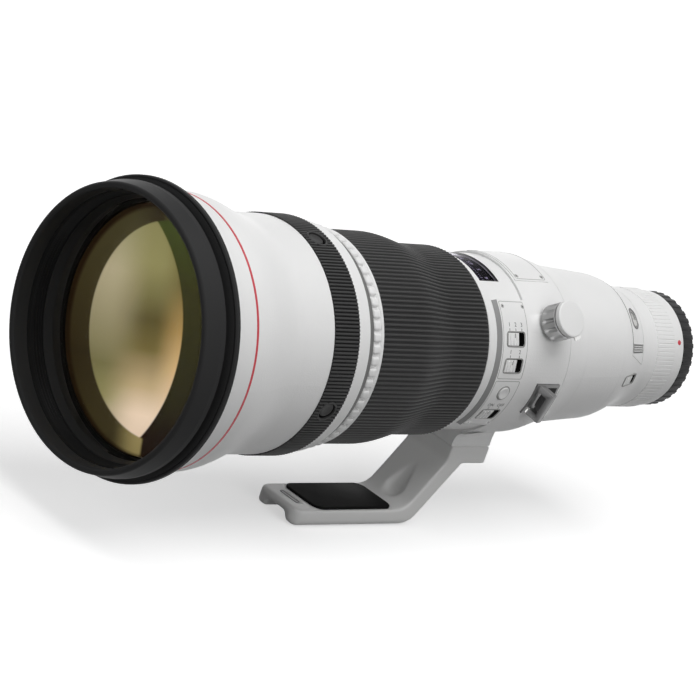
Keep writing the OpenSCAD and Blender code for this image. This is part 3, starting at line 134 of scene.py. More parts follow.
def grain_group():
    """Fine grain of a moulded or painted skin, with a broad, faint unevenness of tone."""
    tree, inside, outside = new_group(
        "grain",
        [
            ("Scale", "NodeSocketFloat", 900.0),
            ("Low", "NodeSocketFloat", 0.4),
            ("High", "NodeSocketFloat", 0.5),
            ("Dark", "NodeSocketColor", (0.5, 0.5, 0.5, 1)),
            ("Light", "NodeSocketColor", (0.6, 0.6, 0.6, 1)),
        ],
        [
            ("Height", "NodeSocketFloat"),
            ("Roughness", "NodeSocketFloat"),
            ("Color", "NodeSocketColor"),
        ],
    )
    links = tree.links
    where = tree.nodes.new("ShaderNodeTexCoord")
    fine = tree.nodes.new("ShaderNodeTexNoise")
    fine.inputs["Detail"].default_value = 3
    links.new(where.outputs["Object"], fine.inputs["Vector"])
    links.new(inside.outputs["Scale"], fine.inputs["Scale"])
    links.new(fine.outputs["Fac"], outside.inputs["Height"])
    broad = tree.nodes.new("ShaderNodeTexNoise")
    broad.inputs["Scale"].default_value = 24
    broad.inputs["Detail"].default_value = 4
    links.new(where.outputs["Object"], broad.inputs["Vector"])
    spread = tree.nodes.new("ShaderNodeMapRange")
    spread.inputs["From Min"].default_value = 0.3
    spread.inputs["From Max"].default_value = 0.7
    links.new(broad.outputs["Fac"], spread.inputs["Value"])
    links.new(inside.outputs["Low"], spread.inputs["To Min"])
    links.new(inside.outputs["High"], spread.inputs["To Max"])
    links.new(spread.outputs["Result"], outside.inputs["Roughness"])
    mix = new_node(tree, "ShaderNodeMix", data_type="RGBA")
    links.new(broad.outputs["Fac"], mix.inputs["Factor"])
    links.new(inside.outputs["Dark"], mix.inputs["A"])
    links.new(inside.outputs["Light"], mix.inputs["B"])
    links.new(mix.outputs["Result"], outside.inputs["Color"])
    return tree


GRAIN = grain_group()


def tone(colour, factor):
    return tuple(min(1, c * factor) for c in colour) + (1,)


def grained(name, colour, scale, low, high, depth, spread=0.03, **values):
    """A skin of one colour whose grain lies depth metres deep."""
    finish = Finish(name)
    grain = finish.group(
        GRAIN,
        Scale=scale,
        Low=low,
        High=high,
        Dark=tone(colour, 1 - spread),
        Light=tone(colour, 1 + spread),
    )
    finish.join(grain, "Color", finish.shader, "Base Color")
    finish.join(grain, "Roughness", finish.shader, "Roughness")
    finish.bump(grain, "Height", depth)
    finish.set(**values)
    return finish.material


white_paint = grained("white casing paint", (0.86, 0.86, 0.855), 1300, 0.36, 0.5, 0.00012)
smooth_paint = grained("smooth white paint", (0.85, 0.85, 0.845), 700, 0.3, 0.4, 0.00003)
foot_paint = grained("foot paint", (0.83, 0.83, 0.82), 1100, 0.38, 0.5, 0.00008)
black_satin = grained("satin black metal", (0.032, 0.032, 0.0325), 900, 0.42, 0.54, 0.00002, 0.1,
    Specular_IOR_Level=0.05)
black_matte = grained("matt black inside", (0.005, 0.005, 0.005), 900, 0.6, 0.8, 0.00004, 0.1,
    Specular_IOR_Level=0.12)
band_rubber = grained("rubber", (0.042, 0.042, 0.042), 1500, 0.5, 0.66, 0.00006, 0.08,
    Specular_IOR_Level=0.2)
# The rubber band's floor between its ribs, painted darker than the ribs as shade.
band_floor_painted_shade = grained("band floor painted as shade", (0.010, 0.010, 0.010), 1500, 0.6, 0.75, 0.00006, 0.08,
    Specular_IOR_Level=0.1)
pad_rubber = grained("pad rubber", (0.006, 0.006, 0.006), 1500, 0.6, 0.75, 0.00008, 0.08,
    Specular_IOR_Level=0.04)
cap_plastic = grained("cap plastic", (0.016, 0.016, 0.017), 1400, 0.35, 0.5, 0.00006, 0.08,
    Specular_IOR_Level=0.2)
bare_metal = grained("satin metal", (0.62, 0.62, 0.62), 1200, 0.22, 0.36, 0.00001, 0.05, Metallic=1.0)
bright_metal = grained("bright metal", (0.78, 0.78, 0.77), 600, 0.1, 0.2, 0.000005, 0.03, Metallic=1.0)
red_paint = grained("red line", (0.56, 0.035, 0.055), 900, 0.3, 0.4, 0.00001, 0.05)
board_green = grained("circuit board", (0.02, 0.12, 0.045), 700, 0.3, 0.4, 0.00002, 0.1)


def rubber_with_painted_groove_shade(name, ribs, phase, groove, crest):
    """Rubber with painted shade, darker down in the grooves between its ribs, which run along the
    lens.
    """
    finish = Finish(name)
    grain = finish.group(GRAIN, Scale=1500, Low=0.42, High=0.56)
    where = finish.add("ShaderNodeTexCoord")
    split = finish.add("ShaderNodeSeparateXYZ")
    finish.join(where, "Object", split, 0)
    angle = finish.add("ShaderNodeMath", operation="ARCTAN2")
    finish.join(split, "X", angle, 0)
    finish.join(split, "Z", angle, 1)
    turns = finish.add("ShaderNodeMath", operation="MULTIPLY_ADD")
    turns.inputs[1].default_value = ribs
    turns.inputs[2].default_value = -phase * 2 * math.pi
    finish.join(angle, "Value", turns, 0)
    wave = finish.add("ShaderNodeMath", operation="COSINE")
    finish.join(turns, "Value", wave, 0)
    spread = finish.add("ShaderNodeMapRange", interpolation_type="SMOOTHSTEP")
    spread.inputs["From Min"].default_value = -0.7
    spread.inputs["From Max"].default_value = 0.5
    finish.join(wave, "Value", spread, "Value")
    mix = finish.add("ShaderNodeMix", data_type="RGBA")
    mix.inputs["A"].default_value = tone((groove,) * 3, 1)
    mix.inputs["B"].default_value = tone((crest,) * 3, 1)
    finish.join(spread, "Result", mix, "Factor")
    finish.join(mix, "Result", finish.shader, "Base Color")
    finish.join(grain, "Roughness", finish.shader, "Roughness")
    finish.bump(grain, "Height", 0.00004)
    finish.set(Specular_IOR_Level=0.2)
    return finish.material


def glass(name, tint, roughness=0.02, ior=1.45):
    finish = Finish(name)
    finish.set(Base_Color=tint + (1,), Roughness=roughness, IOR=ior, Transmission_Weight=1.0)
    return finish.material


clear_glass = glass("coated glass", (0.9, 0.93, 0.86))
FOCUS_RIBS = 137
# The crest's middle, 3.5 of the 8 steps of a rib's form from the rib's start.
CREST_PHASE = 3.5 / 8
grip_rubber_with_groove_shade = rubber_with_painted_groove_shade("ribbed rubber with painted groove shade", FOCUS_RIBS, CREST_PHASE, 0.007, 0.043)

painted_recess_shade = grained("painted recess shade", (0.03, 0.03, 0.03), 900, 0.4, 0.5, 0.00001, 0.05)
painted_shade_grey = grained("painted shade grey", (0.24, 0.24, 0.24), 900, 0.4, 0.5, 0.00001, 0.04)
trim_grey = grained("grey trim", (0.30, 0.30, 0.29), 900, 0.4, 0.5, 0.00001, 0.04)
print_grey = grained("printed grey", (0.045, 0.045, 0.045), 900, 0.45, 0.55, 0.00001, 0.05)
digit_ink = grained("dial digits", (0.62, 0.57, 0.78), 900, 0.4, 0.5, 0.00001, 0.05)
# Grey paint; in the playback ring's groove it is painted shade.
grey_paint_and_groove_shade = grained("grey paint and painted groove shade", (0.13, 0.13, 0.127), 900, 0.5, 0.6, 0.00003, 0.05)
button_rubber = grained("button rubber", (0.026, 0.026, 0.026), 1500, 0.45, 0.6, 0.00004, 0.05,
    Specular_IOR_Level=0.2)
dark_metal = grained("dark metal", (0.15, 0.15, 0.15), 900, 0.28, 0.4, 0.00001, 0.05, Metallic=1.0)
knob_metal = grained("knob side", (0.34, 0.34, 0.34), 900, 0.3, 0.4, 0.00001, 0.05, Metallic=1.0)
screw_metal = grained("screw metal", (0.50, 0.50, 0.49), 900, 0.25, 0.35, 0.00001, 0.05, Metallic=1.0)
smoky_glass = glass("smoky window", (0.62, 0.6, 0.66), 0.03, 1.03)
thin_glass = glass("front coating", (0.97, 0.95, 0.9), 0.015, 1.04)

FINISH_OF = {
    "front_bumper": black_satin, "hood_ring": black_satin, "baffle_rings": black_matte,
    "front_glass": thin_glass, "front_barrel": white_paint, "accent_ring": red_paint,
    "second_cell": black_matte, "second_glass": clear_glass, "stop_barrel": black_matte,
    "grip_band": band_floor_painted_shade, "spacer_ring": white_paint, "inner_barrel": black_matte,
    "control_barrel": white_paint, "distance_window": smoky_glass,
    "upper_switch_panel": smooth_paint, "lower_switch_panel": smooth_paint,
    "case_screws": screw_metal, "guide_tube": bare_metal, "focus_motor": bare_metal,
    "main_tube": black_satin, "rear_barrel": white_paint, "rear_grip": white_paint,
    "rear_baffle": black_matte, "mount_ring": bright_metal, "contact_block": cap_plastic,
    "rear_glass": clear_glass, "iris_unit": black_matte, "circuit_board": board_green,
    "stop_button_1": button_rubber, "stop_button_2": button_rubber,
    "stop_button_3": button_rubber, "stop_button_4": button_rubber,
    "playback_ring": smooth_paint, "focus_ring": black_matte, "focus_grip": grip_rubber_with_groove_shade,
    "focus_mode_switch": smooth_paint, "range_switch": smooth_paint,
    "stabiliser_switch": smooth_paint, "rear_switch": smooth_paint,
    "preset_button": smooth_paint, "collar_ring": white_paint, "nameplate": smooth_paint,
    "collar_screws": screw_metal, "strap_lugs": dark_metal, "foot": foot_paint,
    "foot_arm": foot_paint, "foot_pad": pad_rubber, "collar_knob": smooth_paint,
    "filter_drawer": white_paint, "filter_glass": clear_glass,
    "release_pad_left": grey_paint_and_groove_shade, "release_pad_right": grey_paint_and_groove_shade, "cam_ring": bare_metal,
    "distance_scale": black_matte, "focus_cell": black_matte, "focus_glass": clear_glass,
    "stabiliser_carrier": bare_metal, "stabiliser_cell": black_matte,
    "stabiliser_glass": clear_glass, "rear_cap": cap_plastic,
}
for name, material in FINISH_OF.items():
    mesh = nodes[name].data
    mesh.materials.clear()
    mesh.materials.append(material)


# Shapes, in millimetres, each about its own origin with z outward.
def soften(bm, edges, width, segments=2):
    bmesh.ops.bevel(
        bm,
        geom=list(edges),
        offset=width * MM,
        offset_type="OFFSET",
        segments=segments,
        profile=0.5,
        affect="EDGES",
        clamp_overlap=True,
        material=-1,
    )


def spun(points, steps, axis, closed):
    """A turned form from an outline of (radius, height) along the z or the minus y axis."""
    bm = bmesh.new()
    if axis == "z":
        spots = [(r * MM, 0, h * MM) for r, h in points]
    else:
        spots = [(0, -h * MM, r * MM) for r, h in points]
    verts = [bm.verts.new(spot) for spot in spots]
    pairs = zip(verts, verts[1:] + verts[:1]) if closed else zip(verts, verts[1:])
    edges = [bm.edges.new(pair) for pair in pairs]
    bmesh.ops.spin(
        bm,
        geom=verts + edges,
        cent=(0, 0, 0),
        axis=(0, 0, 1) if axis == "z" else (0, 1, 0),
        angle=2 * math.pi,
        steps=steps,
        use_merge=True,
        use_duplicate=False,
    )
    bmesh.ops.remove_doubles(bm, verts=bm.verts, dist=HAIR)
    bmesh.ops.recalc_face_normals(bm, faces=bm.faces)
    return bm


def turned(points, steps=48):
    return spun(points, steps, "z", False)


def lathe(outline, steps=256):
    return spun([(r, s) for s, r in outline], steps, "y", True)


def block(wide, long, thick, edge=0.0, segments=2, only_top=False):
    """A block on the plane z = 0, with soft edges."""
    bm = bmesh.new()
    bmesh.ops.create_cube(bm, size=1)
    bmesh.ops.translate(bm, verts=bm.verts, vec=(0, 0, 0.5))
    bmesh.ops.scale(bm, verts=bm.verts, vec=(wide * MM, long * MM, thick * MM))
    if edge:
        top = thick * MM * 0.5
        edges = [e for e in bm.edges if not only_top or min(v.co.z for v in e.verts) > top]
        soften(bm, edges, edge, segments)
    return bm


def plate(wide, long, thick, corner, edge=0.0):
    """A plate with round corners and a soft top edge."""
    bm = block(wide, long, thick)
    soften(bm, [e for e in bm.edges if abs(e.verts[0].co.z - e.verts[1].co.z) > HAIR], corner, 6)
    if edge:
        top = thick * MM - HAIR
        soften(bm, [e for e in bm.edges if min(v.co.z for v in e.verts) > top], edge, 2)
    return bm


def rim(wide, long, thick, corner, band, edge=0.0):
    """A flat rim: a plate with round corners and an opening of the same form."""
    bm = plate(wide, long, thick, corner)
    flats = [f for f in bm.faces if abs(f.normal.z) > 0.9]
    bmesh.ops.inset_region(bm, faces=flats, thickness=band * MM, use_even_offset=True)
    loops = [e for f in flats for e in f.edges]
    bmesh.ops.delete(bm, geom=flats, context="FACES_ONLY")
    bmesh.ops.bridge_loops(bm, edges=loops)
    bmesh.ops.recalc_face_normals(bm, faces=bm.faces)
    if edge:
        top = thick * MM - HAIR
        crease = [e for e in bm.edges if min(v.co.z for v in e.verts) > top]
        crease = [e for e in crease if e.calc_face_angle(0) > 1]
        soften(bm, crease, edge, 1)
    return bm


def add(bm, shape, *matrices):
    """Copies of a shape, which is then let go, into a mesh."""
    mesh = bpy.data.meshes.new("shape")
    shape.to_mesh(mesh)
    shape.free()
    for matrix in matrices:
        copy = mesh.copy()
        copy.transform(matrix)
        bm.from_mesh(copy)
        bpy.data.meshes.remove(copy)
    bpy.data.meshes.remove(mesh)
    return bm


def shift(x, y, z=0.0, turn=0.0):
    return Matrix.Translation((x * MM, y * MM, z * MM)) @ Matrix.Rotation(math.radians(turn), 4, "Z")


def sliced(bm, half, step=2.0):
    """Cuts across x, so that the shape can bend round the casing."""
    x = -half
    while x < half:
        geom = list(bm.verts) + list(bm.edges) + list(bm.faces)
        bmesh.ops.bisect_plane(bm, geom=geom, plane_co=(x * MM, 0, 0), plane_no=(1, 0, 0))
        x += step
    return bm


def wrapped(bm, clock, station, radius):
    """Bends a shape round the lens: its x runs round the clock and its y to the rear."""
    for vert in bm.verts:
        angle = math.radians(clock) + vert.co.x / (radius * MM)
        r = radius * MM + vert.co.z
        vert.co = Vector((math.sin(angle) * r, vert.co.y - station * MM, math.cos(angle) * r))
    return bm


def baked(obj):
    """The mesh that an object's curve or modifiers make, after which the object goes."""
    bpy.context.scene.collection.objects.link(obj)
    graph = bpy.context.evaluated_depsgraph_get()
    mesh = bpy.data.meshes.new_from_object(obj.evaluated_get(graph))
    bpy.data.objects.remove(obj)
    return mesh


# The height of a digit as a share of the font's size.
DIGIT_SHARE = 0.7


def lettering(words, height):
    """Flat letters of that height, as a mesh about the middle of the words."""
    curve = bpy.data.curves.new("words", "FONT")
    curve.body = words
    curve.size = height * MM / DIGIT_SHARE
    curve.align_x = "CENTER"
    curve.align_y = "CENTER"
    curve.resolution_u = 3
    curve.extrude = 0.02 * MM
    mesh = baked(bpy.data.objects.new("words", curve))
    bm = bmesh.new()
    bm.from_mesh(mesh)
    bpy.data.curves.remove(curve)
    bpy.data.meshes.remove(mesh)
    bmesh.ops.remove_doubles(bm, verts=bm.verts, dist=1e-8)
    return bm


def piece(name, bm, body, slot, material, *replaced, sharp=35):
    """A new object that rides on a body and shows in place of the nodes it replaces."""
    mesh = bpy.data.meshes.new(name)
    bm.to_mesh(mesh)
    bm.free()
    mesh.materials.append(material)
    mesh.shade_smooth()
    mesh.set_sharp_from_angle(angle=math.radians(sharp))
    obj = bpy.data.objects.new(name, mesh)
    bpy.context.scene.collection.objects.link(obj)
    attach(obj, body)
    if replaced:
        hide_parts(*replaced)
    return obj


def middle(node):
    """Clock and station of a node's middle."""
    low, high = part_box(node)
    x, y, z = ((a + b) / 2 for a, b in zip(low, high))
    return math.degrees(math.atan2(x, z)), -y / MM


def ease(t):
    """A soft step from 0 to 1."""
    t = min(1, max(0, t))
    return t * t * (3 - 2 * t)


# The rear casing widens to the front in three stretches: stations and their radii.
TAIL = ((38, 37.3), (70, 45.0), (106, 47.7), (138, 53.6))


def rear_r_at(s):
    """The rear casing's radius at a station."""
    (s0, r0), (s1, r1), (s2, r2), (s3, r3) = TAIL
    if s < s1:
        return r0 + (r1 - r0) * ease((s - s0) / (s1 - s0))
    if s < s2:
        return r1 + (r2 - r1) * (s - s1) / (s2 - s1)
    return r2 + (r3 - r2) * ease((s - s2) / (s3 - s2))


# The focusing ring's rubber: soft ribs along a sleeve that widens to the front.
FOCUS_NARROW, FOCUS_WIDE = 55.7, 61.3
FOCUS_WAIST_S, FOCUS_WAIST_LEN = 228, 34


def focus_r_at(s):
    """The focusing ring's radius at a station."""
    return FOCUS_NARROW + (FOCUS_WIDE - FOCUS_NARROW) * ease((s - FOCUS_WAIST_S) / FOCUS_WAIST_LEN)


def focus_sleeve():
    front, rear, ribs, depth = 297.2, 202.6, FOCUS_RIBS, 0.95
    wall, run_out = 2, 1.3
    # The height of one rib, step by step round the ring, as a share of its depth.
    form = (0.0, 0.12, 0.78, 1.0, 1.0, 0.78, 0.12, 0.0)
    stations = [rear, rear + 0.5, rear + 1.2, rear + 2.2]
    stations += [rear + 2.2 + (front - rear - 4.4) * i / 30 for i in range(1, 31)]
    stations += [front - 1.2, front - 0.5, front]
    outline = [(s, focus_r_at(s)) for s in stations]
    outline += [(s, focus_r_at(s) - wall) for s in reversed(stations[::3])]
    bm = lathe(outline, ribs * len(form))
    for vert in bm.verts:
        x, y, z = (c / MM for c in vert.co)
        r = math.hypot(x, z)
        if r < focus_r_at(-y) - wall / 2:
            continue
        step = round(math.atan2(x, z) / (2 * math.pi) * ribs * len(form))
        end = ease(min(front + y, -y - rear) / run_out)
        drop = depth * (1 - form[step % len(form)] * end)
        vert.co = Vector((x * (r - drop) / r, y, z * (r - drop) / r)) * MM
    return bm


piece("focus_sleeve", focus_sleeve(), "focusing", "black_rubber", grip_rubber_with_groove_shade, "focus_grip")

# The rubber band's ribs, cut back round the buttons, and the four buttons.
BUTTON_S = 332.2
BUTTONS = [13.7 + 90 * k for k in range(4)]
BAND_TOP = 67.4


def band_ribs():
    bm = bmesh.new()
    count, radius, half, clear = 200, BAND_TOP, 9.6, 6.3
    for k in range(count):
        clock = 360 * k / count
        off = min(abs((clock - b + 180) % 360 - 180) for b in BUTTONS) * math.pi / 180 * radius
        chord = math.sqrt(clear**2 - off**2) if off < clear else 0
        parts = [(-half, half)] if not chord else [(-half, -chord), (chord, half)]
        for low, high in parts:
            shape = block(1.3, high - low, 0.85, 0.42, 2, only_top=True)
            add(bm, shape, place(clock, BUTTON_S + (low + high) / 2, radius))
    return bm


piece("band_ribs", band_ribs(), "barrel", "black_rubber", band_rubber)
for index, word in enumerate(("one", "two", "three", "four"), 1):
    node = f"stop_button_{index}"
    button = turned([(0, -1.0), (4.6, -1.0), (4.6, -0.5), (4.4, -0.15), (3.9, 0), (3.4, 0),
        (2.6, -0.18), (0, -0.3)])
    clock = middle(node)[0]
    placed = add(bmesh.new(), button, place(clock, BUTTON_S, BAND_TOP - 0.05))
    piece(f"{node}_cap", placed, f"stop_button_{word}", "black_rubber", button_rubber, node)

rings = bmesh.new()
ring = turned([(5.35, -0.5), (5.35, 0.5), (5.6, 0.78), (6.2, 0.78), (6.5, 0.5), (6.5, -0.5),
    (5.35, -0.5)])
add(rings, ring, *[place(clock, BUTTON_S, BAND_TOP + 0.05) for clock in BUTTONS])
piece("button_rings", rings, "barrel", "black_rubber", band_rubber)

# The playback ring: a turned ring with sixty pillows, and the groove's floor and the ring's front lip,
# painted grey as shade.
ring = lathe([(298.3, 60.3), (298.3, 62.9), (298.6, 63.2), (300.3, 63.2), (300.7, 62.8),
    (301.0, 62.3), (308.2, 62.3), (308.5, 62.0), (308.5, 60.3)])
PILLOWS = 60
pillow = block(5.2, 5.9, 3.0, 1.45, 5)
add(ring, pillow, *[place(360 / PILLOWS * k, 304.1, 61.3) for k in range(PILLOWS)])
piece("beaded_ring", ring, "playback", "shade_paint", smooth_paint, "playback_ring")
lip = lathe([(307.2, 62.2), (307.2, 63.6), (307.5, 63.8), (308.3, 63.8), (308.4, 62.2)])
piece("bead_lip", lip, "playback", "shade_paint", grey_paint_and_groove_shade)
floor_ring = lathe([(308.95, 62.4), (308.95, 64.6), (312.6, 64.9), (312.6, 62.4)])
piece("groove_floor", floor_ring, "barrel", "white_paint", grey_paint_and_groove_shade)

accent = lathe([(408.95, 76.4), (408.95, 77.2), (409.2, 77.42), (410.5, 77.42), (410.75, 77.2),
    (410.75, 76.4)])
piece("accent_band", accent, "barrel", "red_line", red_paint, "accent_ring")

# The distance dial under its window: two rows of plain numbers and their marks.
dial = bmesh.new()
DIAL_START, DIAL_STEP = -99, 9
TICKS_PER_NUMBER = 5
ROWS = ((191.4, 1.9, ("15", "20", "25", "30", "40", "50", "70", "100", "150", "200", "300")),
    (183.6, 2.6, ("4.5", "5", "6", "8", "10", "12", "15", "20", "30", "50", "90")))
for station, height, words in ROWS:
    for k, word in enumerate(words * 2):
        shape = lettering(word, height)
        flat = add(bmesh.new(), shape, shift(0, 0, 0, 180))
        add(dial, wrapped(flat, DIAL_START + DIAL_STEP * k, station, 49.86), Matrix())
for k in range(22 * TICKS_PER_NUMBER):
    tick = block(0.22, 0.9 if k % TICKS_PER_NUMBER else 1.6, 0.05)
    add(dial, tick, place(DIAL_START + DIAL_STEP / TICKS_PER_NUMBER * k, 187.8, 49.83))
piece("dial_numbers", dial, "cam", "white_paint", digit_ink)
line = wrapped(sliced(block(0.35, 5.0, 0.05), 0.2, 0.2), 0, 186.7, 52.2)
piece("window_index", line, "barrel", "white_paint", print_grey)

# Switches: a trim round each window, a dark floor with its walls lined black as painted shade, and
# ridges with a tick on each lever.
SWITCHES = ((63.9, "focus_mode"), (80.6, "range"), (117.5, "stabiliser_mode"))
SWITCH_S, SWITCH_FLOOR = 178.5, 50.5
PANEL_TOP, PRINT_TOP = 53.9, 53.88
trims = bmesh.new()
floors_and_wall_shade = bmesh.new()
for clock, body in SWITCHES:
    shape = sliced(rim(9.4, 16.0, 0.32, 2.1, 0.6, 0.12), 4, 1.0)
    add(trims, wrapped(shape, clock, SWITCH_S, PANEL_TOP - 0.05), Matrix())
    pit = place(clock, SWITCH_S, SWITCH_FLOOR)
    add(floors_and_wall_shade, plate(7.8, 14.4, 0.05, 1.6), pit)
    add(floors_and_wall_shade, rim(7.96, 14.56, 3.3, 1.9, 0.2), pit)
    ridges = bmesh.new()
    for y in (-2.6, 0.0, 2.6):
        add(ridges, block(6.4, 1.1, 0.55, 0.3, 2, only_top=True), shift(0, y))
    grip = add(bmesh.new(), ridges, place(clock, 181, 54.15))
    piece(f"{body}_ridges", grip, body, "shade_paint", smooth_paint)
    tick = add(bmesh.new(), block(2.6, 0.5, 0.06), place(clock, 179.7, 54.3) @ shift(-2, 0))
    piece(f"{body}_tick", tick, body, "black_plastic", print_grey)
for clock, width in ((64.5, 46.6), (110.25, 36.8)):
    outline = sliced(rim(width, 21.0, 0.06, 1.2, 0.32), width / 2, 2.0)
    add(trims, wrapped(outline, clock, 178.8, PRINT_TOP), Matrix())
piece("switch_trims", trims, "barrel", "shade_paint", trim_grey)

# The rear switch lies along the slope of the casing there.
REAR_SLOPE = Matrix.Rotation(math.radians(-18.494), 4, "X")
REAR_SWITCH = place(95, 55, rear_r_at(55)) @ REAR_SLOPE
# The rear switch's window: a dark floor, its walls lined black as painted shade.
pit = REAR_SWITCH @ shift(0, 0, -1.79)
add(floors_and_wall_shade, plate(5.8, 14.4, 0.05, 1.4), pit)
add(floors_and_wall_shade, rim(5.96, 14.56, 1.6, 1.6, 0.2), pit)
piece("switch_floors_and_wall_shade", floors_and_wall_shade, "barrel", "black_plastic", black_matte)
rear_trim = add(bmesh.new(), rim(7.8, 16.4, 0.45, 2.0, 0.85, 0.15), REAR_SWITCH @ shift(0, 0, -0.12))
piece("rear_switch_trim", rear_trim, "barrel", "shade_paint", trim_grey)
ridges = bmesh.new()
for y in (-2.2, 0.0, 2.2):
    add(ridges, block(4.6, 1.0, 0.5, 0.28, 2, only_top=True), REAR_SWITCH @ shift(0, y - 2.5, 0.3))
piece("rear_mode_ridges", ridges, "rear_mode", "shade_paint", smooth_paint)

# The raised pads' sloped front edge, painted grey as shade.
SLOPE_START, SLOPE_LEN, PAD_HEIGHT = 190.6, 2.6, 1.5
slope_band = wrapped(sliced(block(86.6, 2.9, 0.14), 43.3, 2.0), 84.75, 191.8, PANEL_TOP)
for vert in slope_band.verts:
    drop = max(0, -vert.co.y / MM - SLOPE_START) / SLOPE_LEN * PAD_HEIGHT
    keep = 1 - drop * MM / math.hypot(vert.co.x, vert.co.z)
    vert.co = Vector((vert.co.x * keep, vert.co.y, vert.co.z * keep))
piece("pad_slope", slope_band, "barrel", "shade_paint", painted_shade_grey)

# The preset button: a dished cap in a grey rim.
PRESET = place(99.2, 178.4, PANEL_TOP)
cap = turned([(0, -2.4), (3.95, -2.4), (3.95, 0.45), (3.7, 0.75), (3.3, 0.8), (2.5, 0.5), (0, 0.3)])
placed = add(bmesh.new(), cap, PRESET)
piece("preset_cap", placed, "preset", "shade_paint", smooth_paint, "preset_button")
collar = turned([(4.25, -0.1), (4.25, 0.25), (4.7, 0.25), (4.9, 0.0), (4.9, -0.1), (4.25, -0.1)])
placed = add(bmesh.new(), collar, PRESET)
piece("preset_rim", placed, "barrel", "black_plastic", trim_grey)

# Plain marks: numbers at the first two switches, ON and OFF at the third.
marks = bmesh.new()


def mark(words, height, clock, station):
    flat = add(bmesh.new(), lettering(words, height), shift(0, 0, 0.03, 90))
    add(marks, wrapped(flat, clock, station, PANEL_TOP), Matrix())


# For each switch: the height and clock of its words, the clock of its ticks, and the words.
LEGENDS = (
    (2.5, 54.9, 58.0, ((183.7, "1"), (178.5, "2"), (173.3, "3"))),
    (2.3, 71.9, 74.8, ((182.4, "1"), (174.6, "2"))),
    (2.3, 109.0, 111.6, ((182.6, "ON"), (174.2, "OFF"))),
)
for height, word_clock, tick_clock, words in LEGENDS:
    for station, word in words:
        mark(word, height, word_clock, station)
        add(marks, block(1.5, 0.4, 0.05), place(tick_clock, station, PRINT_TOP))
piece("panel_marks", marks, "barrel", "black_plastic", print_grey)


# Cross recesses of the screw heads, drawn flat in dark paint as their shade, as the screws stand when
# they are tight.
CROSS_TURN = 35


def crosses(places, radius, reach):
    bm = bmesh.new()
    for clock, station in places:
        spot = place(clock, station, radius) @ shift(0, 0, 0, CROSS_TURN)
        for turn in (0, 90):
            add(bm, block(reach, 0.42, 0.06), spot @ shift(0, 0, 0, turn))
    return bm


panel_places = [(clock, s) for clock in (43, 127) for s in (186.7, 169.4)]
piece("panel_crosses", crosses(panel_places, 53.89, 1.7), "barrel", "black_plastic", painted_recess_shade)
plate_places = [(clock, s) for clock in (-19.5, 19.5) for s in (161.7, 139.6)]
piece("plate_crosses", crosses(plate_places, 54.09, 1.9), "collar", "black_plastic", painted_recess_shade)

# A fine raised line round the bare nameplate.
border = sliced(rim(42.0, 26.0, 0.07, 1.6, 0.35), 20, 2.0)
piece("plate_border", wrapped(border, 0, 150.6, 54.1), "collar", "shade_paint", trim_grey)


# The clamp knob: shallow flutes round its side, a dark groove and a plain disc.
def knob():
    flutes, steps_per_flute = 12, 12
    bm = turned([(0, 0), (10.5, 0), (11, 0.5), (11, 1.2), (11, 2.2), (11, 3.4), (11, 8.4),
        (11, 9.4), (11, 10.2), (10.8, 10.6), (10.1, 10.7), (10.1, 11.9), (0, 11.9)],
        flutes * steps_per_flute)
    for vert in bm.verts:
        z = vert.co.z / MM
        r = vert.co.xy.length
        if r > 10.9 * MM and 1.3 < z < 10.1:
            wave = max(0, math.cos(math.atan2(vert.co.y, vert.co.x) * flutes)) ** 0.7
            drop = 1.6 * wave * ease((z - 1.2) / 2) * ease((10.2 - z) / 1.4)
            vert.co.xy *= 1 - drop * MM / r
    return bm


KNOB = place(53.5, 146.5, 55.35)
piece("knob_side", add(bmesh.new(), knob(), KNOB), "knob", "bare_metal", knob_metal, "collar_knob")
disc = turned([(0, 11.5), (10.8, 11.5), (11.1, 11.9), (11.1, 13.9), (10.9, 14.4), (10.3, 14.75),
    (9.9, 14.8), (0, 14.8)], 96)
piece("knob_disc", add(bmesh.new(), disc, KNOB), "knob", "shade_paint", smooth_paint)
tab = add(bmesh.new(), block(3.4, 4.6, 1.9, 0.4, 2), KNOB @ shift(10.6, 4.6, 11.7, 22))
piece("knob_tab", tab, "knob", "bare_metal", bright_metal)

# Dark plates under the strap lugs, painted shade seen through their slots, each with a screw.
LUG_CLOCK = 103.5
slot_shade_plates = bmesh.new()
lug_screws = bmesh.new()
for side in (1, -1):
    under = sliced(block(17.5, 11.5, 0.2, 0.08, 1, only_top=True), 8.7, 2.0)
    add(slot_shade_plates, wrapped(under, side * LUG_CLOCK, 140.5, 54.78), Matrix())
    head = turned([(0, 0), (1.9, 0), (1.9, 0.9), (1.5, 1.2), (0, 1.3)], 32)
    add(lug_screws, head, place(side * (LUG_CLOCK + 8), 149.6, 54.7))
piece("lug_slot_shade_plates", slot_shade_plates, "collar", "black_metal", black_satin)
piece("lug_screws", lug_screws, "collar", "bare_metal", bright_metal)


# Filter drawer: a metal liner in its pocket, and dotted pads either side.
def on_tail(bm, clock, station):
    """Lays a shape on the rear casing, whose radius falls off towards the mount."""
    for vert in bm.verts:
        angle = math.radians(clock) + vert.co.x / (rear_r_at(station) * MM)
        s = station - vert.co.y / MM
        r = rear_r_at(s) * MM + vert.co.z
        vert.co = Vector((math.sin(angle) * r, -s * MM, math.cos(angle) * r))
    return bm


